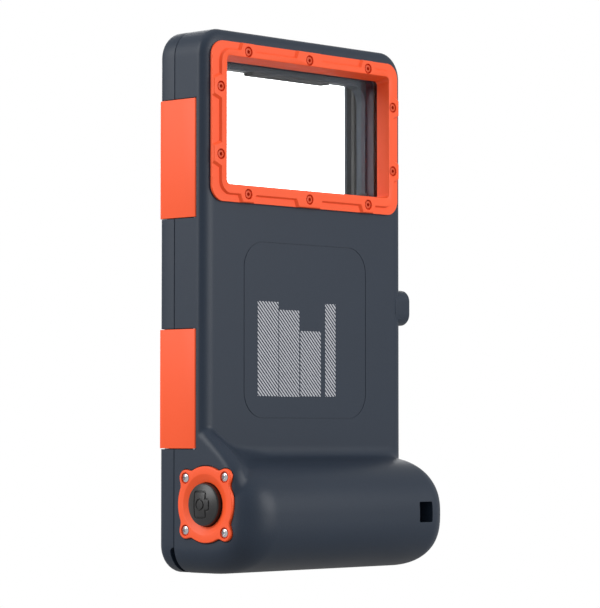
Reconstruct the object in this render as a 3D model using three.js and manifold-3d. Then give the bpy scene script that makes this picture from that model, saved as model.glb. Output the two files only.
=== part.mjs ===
// Underwater housing for a phone camera: a latched two-part case with a shutter grip.
// Millimetres, +Z up. The screen side faces -Y, the camera side +Y, the tripod boss -X.
// Places are laid out from the middle of the front face, y = 0 there and z = 0 at the base.
// The whole case is then moved so that the origin is the bottom centre of its bounding box.
import * as THREE from 'three';
import { mergeVertices } from 'three/addons/utils/BufferGeometryUtils.js';
import Module from 'manifold-3d';

const wasm = await Module();
wasm.setup();

// Overall case
const bodyWidth = 102.4;
const bodyHeight = 186.4;
const bodyDepth = 22.2;
const outlineRadius = 9.5;
const frontEdge = 3;
const backEdgeAcross = 5;
const backEdgeDeep = 3;
const seamDepth = 8;

// Clearances and helpers for cutting
const fitGap = 0.3;
const seatGap = 0.15;
const overrun = 2;
const arcSteps = 3;
const edgeSteps = 3;
const holeSides = 10;
const discSides = 26;

// Grip across the back
const gripProud = 22.6;
const gripHeight = 39.4;
const gripMiddleInset = 4.2;
const gripEndRound = 9;
const gripWall = 3.4;
const upperRoundness = 2.3;
const lowerRoundness = 2.65;
const valleyRadius = 2.6;
const flareTop = 50.5;
const flareFootProud = 17.3;
const flareShoulderProud = 13.8;
const flareShoulder = 41;
const flareWidth = 19;
const flareCrestWidth = 3.4;
const flareFall = 12;
const profileSteps = 44;

// Phone bay
const baySideWall = 10.6;
const bayBottom = 12.8;
const bayTopWall = 12.2;
const bayRadius = 6;
const backWall = 3.2;
const cameraLedgeInset = 7.7;
const cameraLedge = 1.3;

// Front window and its sloping surround
const windowSideRim = 12.2;
const windowBottom = 14.5;
const windowTopRim = 9.9;
const windowCorner = 1.5;
const surroundAcross = 3.2;
const surroundCorner = 5;
const windowRecess = 4.2;
const surroundLip = 0.8;
const windowThickness = 1.8;
const windowMargin = 2.6;
const windowSealWidth = 1.2;

// Cover gasket between the two halves
const gasketWidth = 2;
const gasketHeight = 2.2;
const gasketInset = 6.9;
const gasketInsetEnds = 7.6;

// Latches
const latchLength = 40.6;
const latchRearGap = 0.8;
const latchThickness = 2.6;
const latchWrap = 5.4;
const latchProud = 0.1;
const hookProud = 0.3;
const hookTip = 1.3;
const hookSlope = 0.7;
const latchEdge = 2.6;
const latchCorner = 3;
const latchRearRound = 0.7;
const barrelRadius = 2.3;
const pinRadius = 0.8;
const pinEngage = 3.2;
const notchLength = 15;
const notchDepth = 1.3;
const notchSlant = 1.6;
const fingerDepth = 3;
const leftLatchFromTop = 44.5;
const leftLatchFromBase = 45.6;
const rightLatchFromTop = 44.7;
const rightLatchFromBase = 62.9;

// Pry gap at the two lower corners of the cover
const pryGap = 2;
const pryInset = 3.4;
const pryMargin = THREE.MathUtils.degToRad(4);

// Camera window on the back
const frameSideMargin = 4.1;
const frameTopMargin = 4.8;
const frameHeight = 54.2;
const frameProud = 1.9;
const frameCorner = 5;
const frameEdge = 0.6;
const frameSideBand = 5.7;
const frameEndBand = 5.25;
const openingCorner = 1.6;
const collarWall = 1.2;
const paneInset = 5.7;
const paneThickness = 2;
const paneSealHeight = 0.5;
const paneSealWidth = 1.4;
const channelDepth = 0.8;
const stripWidth = 2.8;
const widePad = 14.5;
const smallPad = 8;
const padSlant = 1;
const frameScrewAcrossInset = 16.3;
const frameScrewEndInset = 2.5;
const frameScrewSideInset = 2.9;
const frameScrewSideUp = 11.6;
const frameScrewHead = 1.35;
const frameScrewHeadHeight = 0.9;
const frameScrewShank = 0.7;
const frameScrewLength = 4.2;
const frameScrewSocket = 0.5;
const screwSocketDepth = 0.6;

// Engraved panel line on the back
const panelSideMargin = 19.9;
const panelAboveGrip = 2.7;
const panelBelowFrame = 13.2;
const panelCorner = 9;
const grooveWidth = 0.4;
const grooveDepth = 0.3;

// Shutter button in the right-hand end of the grip
const buttonProud = 1.5;
const buttonHeight = 23.7;
const bezelRadius = 12.9;
const bezelProud = 1.2;
const bezelScrewOffset = 9.3;
const bezelLobe = 2.9;
const coneRadius = 10.2;
const buttonRadius = 7.4;
const coneDepth = 2.1;
const bezelCollar = 9;
const bezelCollarDepth = 4.6;
const buttonRise = 2.6;
const buttonDome = 1.1;
const buttonCapDepth = 1.4;
const buttonTravel = 1.5;
const boreRadius = 4.2;
const plungerRadius = 2.2;
const plungerHead = 4.5;
const plungerHeadHeight = 0.8;
const buttonSealHeight = 0.8;
const bezelScrewHead = 1.5;
const bezelScrewDome = 0.7;
const bezelScrewShank = 0.8;
const bezelScrewLength = 5;

// Shutter electronics inside the grip
const switchSize = 6;
const switchBody = 3.4;
const switchStem = 0.9;
const switchStemRadius = 1.7;
const boardThickness = 1.2;
const boardDeep = 12.4;
const boardHeight = 12;
const boardCorner = 1;
const boardPostRadius = 2;
const boardPostFromSwitch = 6.8;
const boardPostSpacing = 7.6;
const boardPostHole = 1;
const boardScrewHead = 1.7;
const boardScrewHeadHeight = 1;
const boardScrewShank = 0.8;
const boardScrewLength = 5;
const cavityLeftWall = 22.2;
const cavityEndWall = 7.6;
const neckLeftWall = 25.2;
const neckRightWall = 16.2;
const neckBottom = 15.6;
const neckTop = 35.4;
const neckDeep = 1.4;
const neckCorner = 3;
const plateThickness = 1.4;
const plateMarginAcross = 4;
const plateMarginUp = 2.1;
const plateCorner = 5;
const plateScrewHead = 1.5;
const plateScrewHeadHeight = 0.7;
const plateScrewShank = 0.7;
const plateScrewLength = 4.2;
const cellRadius = 8;
const cellHeight = 3.2;
const cellFromNeck = 18;
const holderWall = 1.2;
const holderFloor = 1;

// Lanyard passage through the left-hand end of the grip
const lanyardBottom = 16.2;
const lanyardTop = 23.5;
const lanyardFromEnd = 9.8;
const lanyardFromBack = 9.7;
const lanyardWidth = 6.9;

// Tripod boss on the left side
const bossAboveMiddle = 0.35;
const bossLength = 12.9;
const bossWidth = 13.2;
const bossRadius = 4.2;
const bossProud = 4;
const bossEdge = 0.5;
const bossRim = 0.75;
const bossPlate = 1;
const insertRadius = 3.8;
const insertBore = 2.65;
const insertLength = 9;
const insertProud = 0.5;
const insertFloor = 1;
const insertRootRadius = 3.2;
const insertFlange = 1.4;

// Foam pads that hold the phone in its bay
const padThickness = 3;
const padInset = 4;
const padCorner = 5;
const padBelowFrame = 5.5;
const edgePadThickness = 1.2;
const edgePadLength = 46;
const edgePadFrontInset = 1.2;
const edgePadRoundShare = 0.24;
const edgePadShares = [0.243, 0.615];
const endPadLength = 40;

// Places that follow from the sizes
const halfWidth = bodyWidth / 2;
const gripDepth = bodyDepth + gripProud;
const gripMiddleDepth = bodyDepth - gripMiddleInset;
const flareFootDepth = bodyDepth + flareFootProud;
const flareShoulderDepth = bodyDepth + flareShoulderProud;
const bayWidth = bodyWidth - 2 * baySideWall;
const bayTop = bodyHeight - bayTopWall;
const bayFloor = bodyDepth - backWall;
const cameraLedgeFront = bodyDepth - cameraLedgeInset;
const windowWidth = bodyWidth - 2 * windowSideRim;
const windowTop = bodyHeight - windowTopRim;
const latchReach = bodyDepth - backEdgeDeep - latchRearGap;
const frameWidth = bodyWidth - 2 * frameSideMargin;
const cameraHeight = bodyHeight - frameTopMargin - frameHeight / 2;
const cameraLandBottom = cameraHeight - frameHeight / 2;
const openingWidth = frameWidth - 2 * frameSideBand;
const openingHeight = frameHeight - 2 * frameEndBand;
const paneFront = bodyDepth - paneInset;
const panelWidth = bodyWidth - 2 * panelSideMargin;
const panelBottom = flareTop + panelAboveGrip;
const panelTop = cameraLandBottom - panelBelowFrame;
const buttonDepth = bodyDepth + buttonProud;
const cavityLeft = halfWidth - cavityLeftWall;
const neckLeft = halfWidth - neckLeftWall;
const neckRight = halfWidth - neckRightWall;
const cellAcross = cellFromNeck - neckLeft;
const bossMiddleHeight = bodyHeight / 2 + bossAboveMiddle;
const bossBottom = bossMiddleHeight - bossLength / 2;
const bossTop = bossMiddleHeight + bossLength / 2;
const padTop = cameraLandBottom - padBelowFrame;
const shellFront = seamDepth + fitGap;
const padFront = shellFront + edgePadFrontInset;
const edgePadRound = edgePadRoundShare * (cameraLedgeFront - padFront);
const buttonFace = bezelProud - coneDepth + buttonRise;
const leftReach = halfWidth + bossProud + insertProud;
const rightReach = halfWidth + buttonFace + buttonDome;
const gripHalfHeight = gripHeight / 2;

// Materials
const plastic = { color: 0x343a47, roughness: 0.62, metalness: 0 };
const orange = { color: 0xff5a2a, roughness: 0.42, metalness: 0 };
const rubber = { color: 0x1b1c1e, roughness: 0.75, metalness: 0 };
const glossBlack = { color: 0x0a0a0b, roughness: 0.15, metalness: 0 };
const clear = { color: 0xdfe8ea, roughness: 0.04, metalness: 0, transparent: true, opacity: 0.25 };
const steel = { color: 0xb9bcc0, roughness: 0.3, metalness: 1 };
const brass = { color: 0xd8b65a, roughness: 0.25, metalness: 1 };
const greenBoard = { color: 0x1d5a3a, roughness: 0.5, metalness: 0 };
const foam = { color: 0x26282c, roughness: 0.95, metalness: 0 };

const housing = new THREE.Group();
const casePlaced = new THREE.Group();
casePlaced.position.set((leftReach - rightReach) / 2, -(gripDepth - hookProud) / 2, 0);
housing.add(casePlaced);

// A closed mesh with merged vertices becomes a solid that can be joined and cut.
function solidOf(geometry) {
  const bare = geometry.clone();
  bare.deleteAttribute('normal');
  bare.deleteAttribute('uv');
  const merged = mergeVertices(bare);
  const mesh = new wasm.Mesh({
    numProp: 3,
    vertProperties: new Float32Array(merged.attributes.position.array),
    triVerts: new Uint32Array(merged.index.array),
  });
  return new wasm.Manifold(mesh);
}

function geometryOf(solid) {
  const mesh = solid.getMesh();
  const geometry = new THREE.BufferGeometry();
  geometry.setAttribute('position', new THREE.BufferAttribute(mesh.vertProperties, 3));
  geometry.setIndex(new THREE.BufferAttribute(mesh.triVerts, 1));
  geometry.computeVertexNormals();
  return geometry;
}

function addPiece(name, solid, look) {
  const material = new THREE.MeshStandardMaterial(look);
  const piece = new THREE.Mesh(geometryOf(solid), material);
  piece.name = name;
  casePlaced.add(piece);
  return piece;
}

function addCopies(name, solids, look) {
  for (const [index, solid] of solids.entries()) {
    addPiece(`${name}_${index + 1}`, solid, look);
  }
}

function joined(solids) {
  return solids.reduce((whole, solid) => whole.add(solid));
}

function cut(solid, cutters) {
  return cutters.reduce((left, cutter) => left.subtract(cutter), solid);
}

// Outline with rounded corners between two corners of a rectangle
function roundedBox(left, bottom, right, top, radius) {
  const shape = new THREE.Shape();
  shape.moveTo(left + radius, bottom);
  shape.lineTo(right - radius, bottom);
  shape.absarc(right - radius, bottom + radius, radius, -Math.PI / 2, 0, false);
  shape.lineTo(right, top - radius);
  shape.absarc(right - radius, top - radius, radius, 0, Math.PI / 2, false);
  shape.lineTo(left + radius, top);
  shape.absarc(left + radius, top - radius, radius, Math.PI / 2, Math.PI, false);
  shape.lineTo(left, bottom + radius);
  shape.absarc(left + radius, bottom + radius, radius, Math.PI, 1.5 * Math.PI, false);
  return shape;
}

function centredBox(width, height, middle, radius) {
  return roundedBox(-width / 2, middle - height / 2, width / 2, middle + height / 2, radius);
}

function polygon(points) {
  return new THREE.Shape(points.map(([across, up]) => new THREE.Vector2(across, up)));
}

function disc(across, up, radius) {
  const shape = new THREE.Shape();
  shape.absarc(across, up, radius, 0, 2 * Math.PI, false);
  return shape;
}

// A block across the whole case, for trimming
function trimBlock(from, to) {
  const block = roundedBox(-bodyWidth, -bodyHeight, bodyWidth, 2 * bodyHeight, outlineRadius);
  return throughY(block, from, to);
}

function ringShape(outer, inner) {
  outer.holes.push(inner);
  return outer;
}

// Extrusions: shape axes and length run along the case's own axes
function extruded(shape, length, edge, steps) {
  const { across = 0, deep = 0 } = edge;
  return new THREE.ExtrudeGeometry(shape, {
    depth: length - 2 * deep,
    bevelEnabled: deep > 0,
    bevelThickness: deep,
    bevelSize: across,
    bevelOffset: -across,
    bevelSegments: edgeSteps,
    curveSegments: steps,
  }).translate(0, 0, deep);
}

// A shape in X and Z, from one depth to a greater one
function throughY(shape, from, to, edge = {}, steps = arcSteps) {
  const geometry = extruded(shape, to - from, edge, steps);
  const axes = new THREE.Matrix4().makeBasis(
    new THREE.Vector3(1, 0, 0),
    new THREE.Vector3(0, 0, 1),
    new THREE.Vector3(0, -1, 0),
  );
  return solidOf(geometry.applyMatrix4(axes).translate(0, to, 0));
}

// A shape in Y and Z, from one side place to a greater one
function throughX(shape, from, to, edge = {}, steps = arcSteps) {
  const geometry = extruded(shape, to - from, edge, steps);
  const axes = new THREE.Matrix4().makeBasis(
    new THREE.Vector3(0, 1, 0),
    new THREE.Vector3(0, 0, 1),
    new THREE.Vector3(1, 0, 0),
  );
  return solidOf(geometry.applyMatrix4(axes).translate(from, 0, 0));
}

// A turned piece: profile points are [radius, place], and the axis points along an axis vector
function turned(points, axis, origin, sides = discSides) {
  const profile = points.map(([radius, place]) => new THREE.Vector2(radius, place));
  const geometry = new THREE.LatheGeometry(profile, sides);
  const turn = new THREE.Quaternion().setFromUnitVectors(new THREE.Vector3(0, 1, 0), axis);
  geometry.applyQuaternion(turn).translate(origin.x, origin.y, origin.z);
  return solidOf(geometry);
}

function rod(radius, from, to, axis, origin, sides = holeSides) {
  return turned([[0, from], [radius, from], [radius, to], [0, to]], axis, origin, sides);
}

const outwardRight = new THREE.Vector3(1, 0, 0);
const outwardLeft = new THREE.Vector3(-1, 0, 0);
const outwardBack = new THREE.Vector3(0, 1, 0);
const outwardFront = new THREE.Vector3(0, -1, 0);
const outwardTop = new THREE.Vector3(0, 0, 1);
const outwardBottom = new THREE.Vector3(0, 0, -1);

// The six latches: where each one's middle lies on the front edge, and how it faces
const latchPlaces = [
  latchPlace('left_upper', outwardLeft, -halfWidth, bodyHeight - leftLatchFromTop),
  latchPlace('left_lower', outwardLeft, -halfWidth, leftLatchFromBase),
  latchPlace('right_upper', outwardRight, halfWidth, bodyHeight - rightLatchFromTop),
  latchPlace('right_lower', outwardRight, halfWidth, rightLatchFromBase),
  latchPlace('top', outwardTop, 0, bodyHeight),
  latchPlace('bottom', outwardBottom, 0, 0, 0),
];

function latchPlace(name, outward, across, up, proud = latchProud) {
  return { name, outward, middle: new THREE.Vector3(across, 0, up), proud };
}

const pinIn = barrelRadius - latchProud;
const pinDepth = latchReach - barrelRadius;

// Latch frame: first axis outward, second back along the case's depth, third along the pin
function latchFrame(place) {
  const back = new THREE.Vector3(0, 1, 0);
  const along = new THREE.Vector3().crossVectors(place.outward, back);
  const frame = new THREE.Matrix4().makeBasis(place.outward, back, along);
  return frame.setPosition(place.middle);
}

function alongLatch(shape, length, frame, steps = arcSteps) {
  const geometry = extruded(shape, length, {}, steps).translate(0, 0, -length / 2);
  return solidOf(geometry.applyMatrix4(frame));
}

// A shape laid out along the pin and outward, cut from one depth to a greater one
function onFront(shape, from, to, frame, steps = arcSteps) {
  const geometry = extruded(shape, to - from, {}, steps);
  const axes = new THREE.Matrix4().makeBasis(
    new THREE.Vector3(0, 0, 1),
    new THREE.Vector3(1, 0, 0),
    new THREE.Vector3(0, 1, 0),
  );
  return solidOf(geometry.applyMatrix4(axes).translate(0, from, 0).applyMatrix4(frame));
}

// Section of a latch: a plate with a barrel at the pin and a wedge-backed hook in front
function latchSection(proud) {
  const inner = latchProud - latchThickness;
  const rootDepth = hookTip - hookProud + hookSlope * (latchWrap + inner);
  const shape = new THREE.Shape();
  shape.moveTo(-latchWrap, -hookProud);
  shape.lineTo(proud - latchEdge, -hookProud);
  shape.absarc(proud - latchEdge, latchEdge - hookProud, latchEdge, -Math.PI / 2, 0, false);
  shape.lineTo(proud, latchReach - latchRearRound);
  shape.absarc(proud - latchRearRound, latchReach - latchRearRound, latchRearRound, 0, Math.PI / 2, false);
  shape.lineTo(-pinIn, latchReach);
  shape.absarc(-pinIn, pinDepth, barrelRadius, Math.PI / 2, 1.5 * Math.PI, false);
  shape.lineTo(inner, pinDepth - barrelRadius);
  shape.lineTo(inner, rootDepth);
  shape.lineTo(-latchWrap, hookTip - hookProud);
  return shape;
}

// Outline of the hook seen from the front, with round corners and the finger notch
function hookOutline(grow) {
  const half = latchLength / 2 + grow;
  const tip = -latchWrap - grow;
  const radius = latchCorner + grow;
  const shape = new THREE.Shape();
  shape.moveTo(half, overrun);
  shape.lineTo(-half, overrun);
  shape.lineTo(-half, tip + radius);
  shape.absarc(-half + radius, tip + radius, radius, Math.PI, 1.5 * Math.PI, false);
  if (grow === 0) {
    shape.lineTo(-notchLength / 2, tip);
    shape.lineTo(-notchLength / 2 + notchSlant, tip + notchDepth);
    shape.lineTo(notchLength / 2 - notchSlant, tip + notchDepth);
    shape.lineTo(notchLength / 2, tip);
  }
  shape.lineTo(half - radius, tip);
  shape.absarc(half - radius, tip + radius, radius, 1.5 * Math.PI, 2 * Math.PI, false);
  return shape;
}

function makeLatch(place) {
  const frame = latchFrame(place);
  const hookEnd = pinDepth - barrelRadius - overrun;
  const plan = onFront(hookOutline(0), -overrun, hookEnd, frame);
  const block = centredBox(2 * latchLength, 2 * bodyDepth, 0, outlineRadius);
  const rest = onFront(block, hookEnd - fitGap, latchReach + overrun, frame);
  const bar = alongLatch(latchSection(place.proud), latchLength, frame);
  return bar.intersect(plan.add(rest)).subtract(pinRod(place, pinRadius + fitGap, latchLength));
}

// A rod on a latch's pin axis, reaching equally both ways from the latch's middle
function pinRod(place, radius, reach) {
  const centre = new THREE.Vector3(-pinIn, pinDepth, 0).applyMatrix4(latchFrame(place));
  const along = new THREE.Vector3().crossVectors(place.outward, outwardBack);
  return rod(radius, -reach, reach, along, centre);
}

function makePin(place) {
  return pinRod(place, pinRadius, latchLength / 2 + fitGap + pinEngage);
}

// Room that a latch needs in the case: its plate, its hook and its turning barrel
function latchPocket(place) {
  const frame = latchFrame(place);
  const inner = latchProud - latchThickness - fitGap;
  const tip = -latchWrap - fitGap;
  const wedgeLift = fitGap * Math.hypot(1, hookSlope);
  const tipDepth = hookTip - hookProud + wedgeLift - hookSlope * fitGap;
  const rootDepth = tipDepth + hookSlope * (inner - tip);
  const plate = polygon([
    [tip, -overrun],
    [overrun, -overrun],
    [overrun, pinDepth],
    [inner, pinDepth],
    [inner, rootDepth],
    [tip, tipDepth],
  ]);
  const pocketLength = latchLength + 2 * fitGap;
  const corners = onFront(hookOutline(fitGap), -overrun, pinDepth + overrun, frame);
  const channel = alongLatch(plate, pocketLength, frame).intersect(corners);
  const sweep = Math.hypot(barrelRadius, barrelRadius) - latchRearRound * (Math.SQRT2 - 1) + fitGap;
  const turning = disc(-pinIn, pinDepth, sweep);
  const mouth = polygon([
    [-pinIn, pinDepth - sweep],
    [overrun, pinDepth - sweep],
    [overrun, latchReach + fitGap],
    [-pinIn, latchReach + fitGap],
  ]);
  const barrelRoom = alongLatch(turning, pocketLength, frame, discSides / 2);
  const pinHole = pinRod(place, pinRadius + fitGap, pocketLength / 2 + pinEngage + fitGap);
  return joined([channel, barrelRoom, alongLatch(mouth, pocketLength, frame), pinHole]);
}

// Hollow behind the finger notch, cut into the cover only
function fingerHollow(place) {
  const inset = notchSlant + notchSlant;
  const half = notchLength / 2 - inset;
  const shape = polygon([
    [-half, -latchWrap],
    [half, -latchWrap],
    [half, -latchWrap + notchDepth + notchDepth],
    [-half, -latchWrap + notchDepth + notchDepth],
  ]);
  return onFront(shape, -overrun, fingerDepth, latchFrame(place));
}

// Outer profile of the grip in Y and Z: a rounded hump with a fuller lower half
function gripProfile(inset) {
  const reach = gripDepth - gripMiddleDepth - inset;
  const rise = gripHalfHeight - inset;
  const points = [];
  for (let step = 0; step <= profileSteps; step += 1) {
    const angle = Math.PI / 2 - (Math.PI * step) / profileSteps;
    const roundness = angle > 0 ? upperRoundness : lowerRoundness;
    const depthShare = Math.cos(angle) ** (2 / roundness);
    const heightShare = Math.sign(angle) * Math.abs(Math.sin(angle)) ** (2 / roundness);
    points.push([gripMiddleDepth + reach * depthShare, gripHalfHeight + rise * heightShare]);
  }
  points.push([gripMiddleDepth - gripEndRound - overrun, gripHalfHeight - rise]);
  points.push([gripMiddleDepth - gripEndRound - overrun, gripHalfHeight + rise]);
  return polygon(points.reverse());
}

function gripTopAt(depth) {
  const share = (depth - gripMiddleDepth) / (gripDepth - gripMiddleDepth);
  return gripHalfHeight + gripHalfHeight * (1 - share ** upperRoundness) ** (1 / upperRoundness);
}

function makeGripBody() {
  const humpEnds = { across: gripEndRound, deep: gripEndRound };
  const hump = throughX(gripProfile(0), -halfWidth, halfWidth, humpEnds);
  // Hollow fillet where the hump leaves the back
  const foot = gripTopAt(bodyDepth + valleyRadius);
  const fillet = new THREE.Shape();
  fillet.moveTo(bodyDepth - backEdgeDeep, foot - valleyRadius);
  fillet.lineTo(bodyDepth + valleyRadius, foot - valleyRadius);
  fillet.lineTo(bodyDepth + valleyRadius, foot);
  fillet.absarc(bodyDepth + valleyRadius, foot + valleyRadius, valleyRadius, 1.5 * Math.PI, Math.PI, true);
  fillet.lineTo(bodyDepth - backEdgeDeep, foot + valleyRadius);
  const valleyEnd = { across: valleyRadius / 2, deep: gripEndRound / 2 };
  const valley = throughX(fillet, -halfWidth + backEdgeAcross, halfWidth - backEdgeAcross, valleyEnd);
  return joined([hump, valley, makeGripFlare()]);
}

// Flare that carries the right-hand end of the grip up into the back edge: a ridge seen
// from the side, whose crest falls away in a hollow sweep towards the middle
function makeGripFlare() {
  const near = bodyDepth - backEdgeDeep;
  const foot = gripTopAt(flareFootDepth);
  const side = new THREE.Shape();
  side.moveTo(near, gripHalfHeight);
  side.lineTo(flareFootDepth, gripHalfHeight);
  side.lineTo(flareFootDepth, foot);
  side.quadraticCurveTo(flareShoulderDepth, flareShoulder, near, flareTop);
  const ridge = throughX(side, halfWidth - flareWidth, halfWidth);
  const fall = new THREE.Vector2(flareFootDepth - near, foot - flareTop);
  const crest = (flareShoulder - foot) / 2;
  const left = -flareWidth;
  const end = new THREE.Shape();
  end.moveTo(left, -flareFall - gripHalfHeight);
  end.lineTo(0, -flareFall - gripHalfHeight);
  end.lineTo(0, crest - gripEndRound);
  end.quadraticCurveTo(0, crest, -flareCrestWidth, crest);
  end.quadraticCurveTo(left / 2, crest - flareFall / 2, left, -flareFall);
  const slab = extruded(end, fall.length() + 2 * gripHalfHeight, {}, arcSteps);
  const along = new THREE.Vector3(0, -fall.x, -fall.y).normalize();
  const across = new THREE.Vector3(1, 0, 0);
  const upright = new THREE.Vector3().crossVectors(along, across);
  const frame = new THREE.Matrix4().makeBasis(across, upright, along);
  frame.setPosition(halfWidth, flareFootDepth - along.y * gripHalfHeight, foot - along.z * gripHalfHeight);
  return ridge.intersect(solidOf(slab.applyMatrix4(frame)));
}

function lanyardPassage() {
  const sideFrom = -halfWidth - overrun;
  const sideTo = -halfWidth + lanyardFromEnd + lanyardWidth;
  const nearDepth = gripDepth - lanyardFromBack - lanyardWidth;
  const sideHole = polygon([
    [nearDepth, lanyardBottom],
    [gripDepth - lanyardFromBack, lanyardBottom],
    [gripDepth - lanyardFromBack, lanyardTop],
    [nearDepth, lanyardTop],
  ]);
  const backHole = polygon([
    [-halfWidth + lanyardFromEnd, lanyardBottom],
    [sideTo, lanyardBottom],
    [sideTo, lanyardTop],
    [-halfWidth + lanyardFromEnd, lanyardTop],
  ]);
  return throughX(sideHole, sideFrom, sideTo).add(throughY(backHole, nearDepth, gripDepth + overrun));
}

// Places around the camera frame, seen from the back: middle screws first
const frameScrewUp = frameHeight / 2 - frameScrewEndInset;
const frameScrewSide = frameWidth / 2 - frameScrewSideInset;
const frameScrewAcross = frameWidth / 2 - frameScrewAcrossInset;
const frameScrewPlaces = [
  ...[-frameScrewAcross, 0, frameScrewAcross].flatMap((across) => [
    { across, up: cameraHeight + frameScrewUp, pad: across === 0 ? widePad : smallPad, edge: 'end' },
    { across, up: cameraHeight - frameScrewUp, pad: across === 0 ? widePad : smallPad, edge: 'end' },
  ]),
  ...[-frameScrewSide, frameScrewSide].flatMap((across) => [
    { across, up: cameraHeight + frameScrewSideUp, pad: smallPad, edge: 'side' },
    { across, up: cameraHeight - frameScrewSideUp, pad: smallPad, edge: 'side' },
  ]),
];

const frameFace = bodyDepth + frameProud;
const paneWidth = openingWidth + 2 * collarWall - fitGap;
const paneHeight = openingHeight + 2 * collarWall - fitGap;

function cameraCuts() {
  const pocketWidth = openingWidth + 2 * collarWall + 2 * fitGap;
  const pocketHeight = openingHeight + 2 * collarWall + 2 * fitGap;
  const ledgeBack = cameraLedgeFront + cameraLedge;
  const pocket = centredBox(pocketWidth, pocketHeight, cameraHeight, openingCorner + collarWall);
  const opening = centredBox(openingWidth, openingHeight, cameraHeight, openingCorner);
  const screwHoles = frameScrewPlaces.map((place) => {
    const mouth = new THREE.Vector3(place.across, frameFace, place.up);
    const deep = frameScrewLength + fitGap;
    return rod(frameScrewShank + fitGap, -deep, overrun, outwardBack, mouth, holeSides);
  });
  return [
    throughY(pocket, ledgeBack, bodyDepth + overrun),
    throughY(opening, cameraLedgeFront - overrun, ledgeBack + overrun),
    ...screwHoles,
  ];
}

function buttonCuts() {
  const centre = new THREE.Vector3(halfWidth, buttonDepth, buttonHeight);
  const seat = bezelCollarDepth + fitGap;
  const sealSeat = seat + buttonSealHeight + seatGap;
  const screws = bezelScrewPlaces().map((place) => (
    rod(bezelScrewShank + fitGap, -bezelScrewLength - fitGap, overrun, outwardRight, place)
  ));
  return [
    rod(bezelCollar + fitGap, -sealSeat, overrun, outwardRight, centre, discSides),
    rod(boreRadius, -bodyDepth / 2, 0, outwardRight, centre),
    ...screws,
  ];
}

function bezelScrewPlaces() {
  const signs = [[1, 1], [1, -1], [-1, 1], [-1, -1]];
  return signs.map(([deep, up]) => new THREE.Vector3(
    halfWidth,
    buttonDepth + deep * bezelScrewOffset,
    buttonHeight + up * bezelScrewOffset,
  ));
}

const cavityRight = halfWidth - cavityEndWall;
const boardFace = neckRight - fitGap;
const boardFront = bayFloor + neckDeep + fitGap;

function boardPostPlaces() {
  return [1, -1].map((side) => new THREE.Vector3(
    boardFace + seatGap,
    buttonDepth + boardPostFromSwitch,
    buttonHeight + (side * boardPostSpacing) / 2,
  ));
}

// Hollow of the grip, with a neck to the bay and two posts for the board
function gripHollow() {
  const profile = throughX(gripProfile(gripWall), -cavityLeft, cavityRight);
  const hollow = profile.intersect(trimBlock(bayFloor + neckDeep, gripDepth));
  const neckShape = roundedBox(-neckLeft, neckBottom, neckRight, neckTop, neckCorner);
  const neck = throughY(neckShape, bayFloor - overrun, bayFloor + neckDeep + overrun);
  const posts = boardPostPlaces().map((place) => {
    const reach = cavityRight + overrun - place.x;
    return rod(boardPostRadius, 0, reach, outwardRight, place);
  });
  return cut(hollow, posts).add(neck);
}

const plateLeft = -neckLeft - plateMarginAcross;
const plateRight = neckRight + plateMarginAcross;
const plateBottom = neckBottom - plateMarginUp;
const plateTop = neckTop + plateMarginUp;

function plateScrewPlaces() {
  const inset = plateMarginAcross / 2;
  const levels = [plateTop - plateCorner, plateBottom + plateCorner];
  return levels.flatMap((up) => [plateLeft + inset, plateRight - inset].map((across) => (
    new THREE.Vector3(across, bayFloor - seatGap - plateThickness, up)
  )));
}

const bossDepth = bodyDepth - bossWidth;
const bossMiddleDepth = bodyDepth - bossWidth / 2;
const bossFace = -halfWidth - bossProud;

function makeBoss() {
  const outline = roundedBox(bossDepth, bossBottom, bodyDepth, bossTop, bossRadius);
  return throughX(outline, bossFace, -halfWidth + bossProud, { across: bossEdge, deep: bossEdge });
}

function bossCuts() {
  const rim = bossRim;
  const plateRoom = roundedBox(
    bossDepth + rim, bossBottom + rim, bodyDepth - rim, bossTop - rim, bossRadius - rim,
  );
  const centre = new THREE.Vector3(bossFace, bossMiddleDepth, bossMiddleHeight);
  return [
    throughX(plateRoom, bossFace - overrun, bossFace + bossPlate),
    rod(insertRadius + fitGap, -insertLength - fitGap, overrun, outwardLeft, centre, discSides),
  ];
}

function gasketOutline(grow) {
  const inset = gasketInset - grow;
  const insetEnds = gasketInsetEnds - grow;
  return roundedBox(
    -halfWidth + inset, insetEnds, halfWidth - inset, bodyHeight - insetEnds, bayRadius + grow,
  );
}

function gasketRing(grow) {
  return ringShape(gasketOutline(grow), gasketOutline(-gasketWidth - grow));
}

function panelGroove() {
  const half = grooveWidth / 2;
  const middle = (panelTop + panelBottom) / 2;
  const height = panelTop - panelBottom;
  const outer = centredBox(panelWidth + 2 * half, height + 2 * half, middle, panelCorner + half);
  const inner = centredBox(panelWidth - 2 * half, height - 2 * half, middle, panelCorner - half);
  return throughY(ringShape(outer, inner), bodyDepth - grooveDepth, bodyDepth + overrun);
}

function caseOutline() {
  return roundedBox(-halfWidth, 0, halfWidth, bodyHeight, outlineRadius);
}

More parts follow.
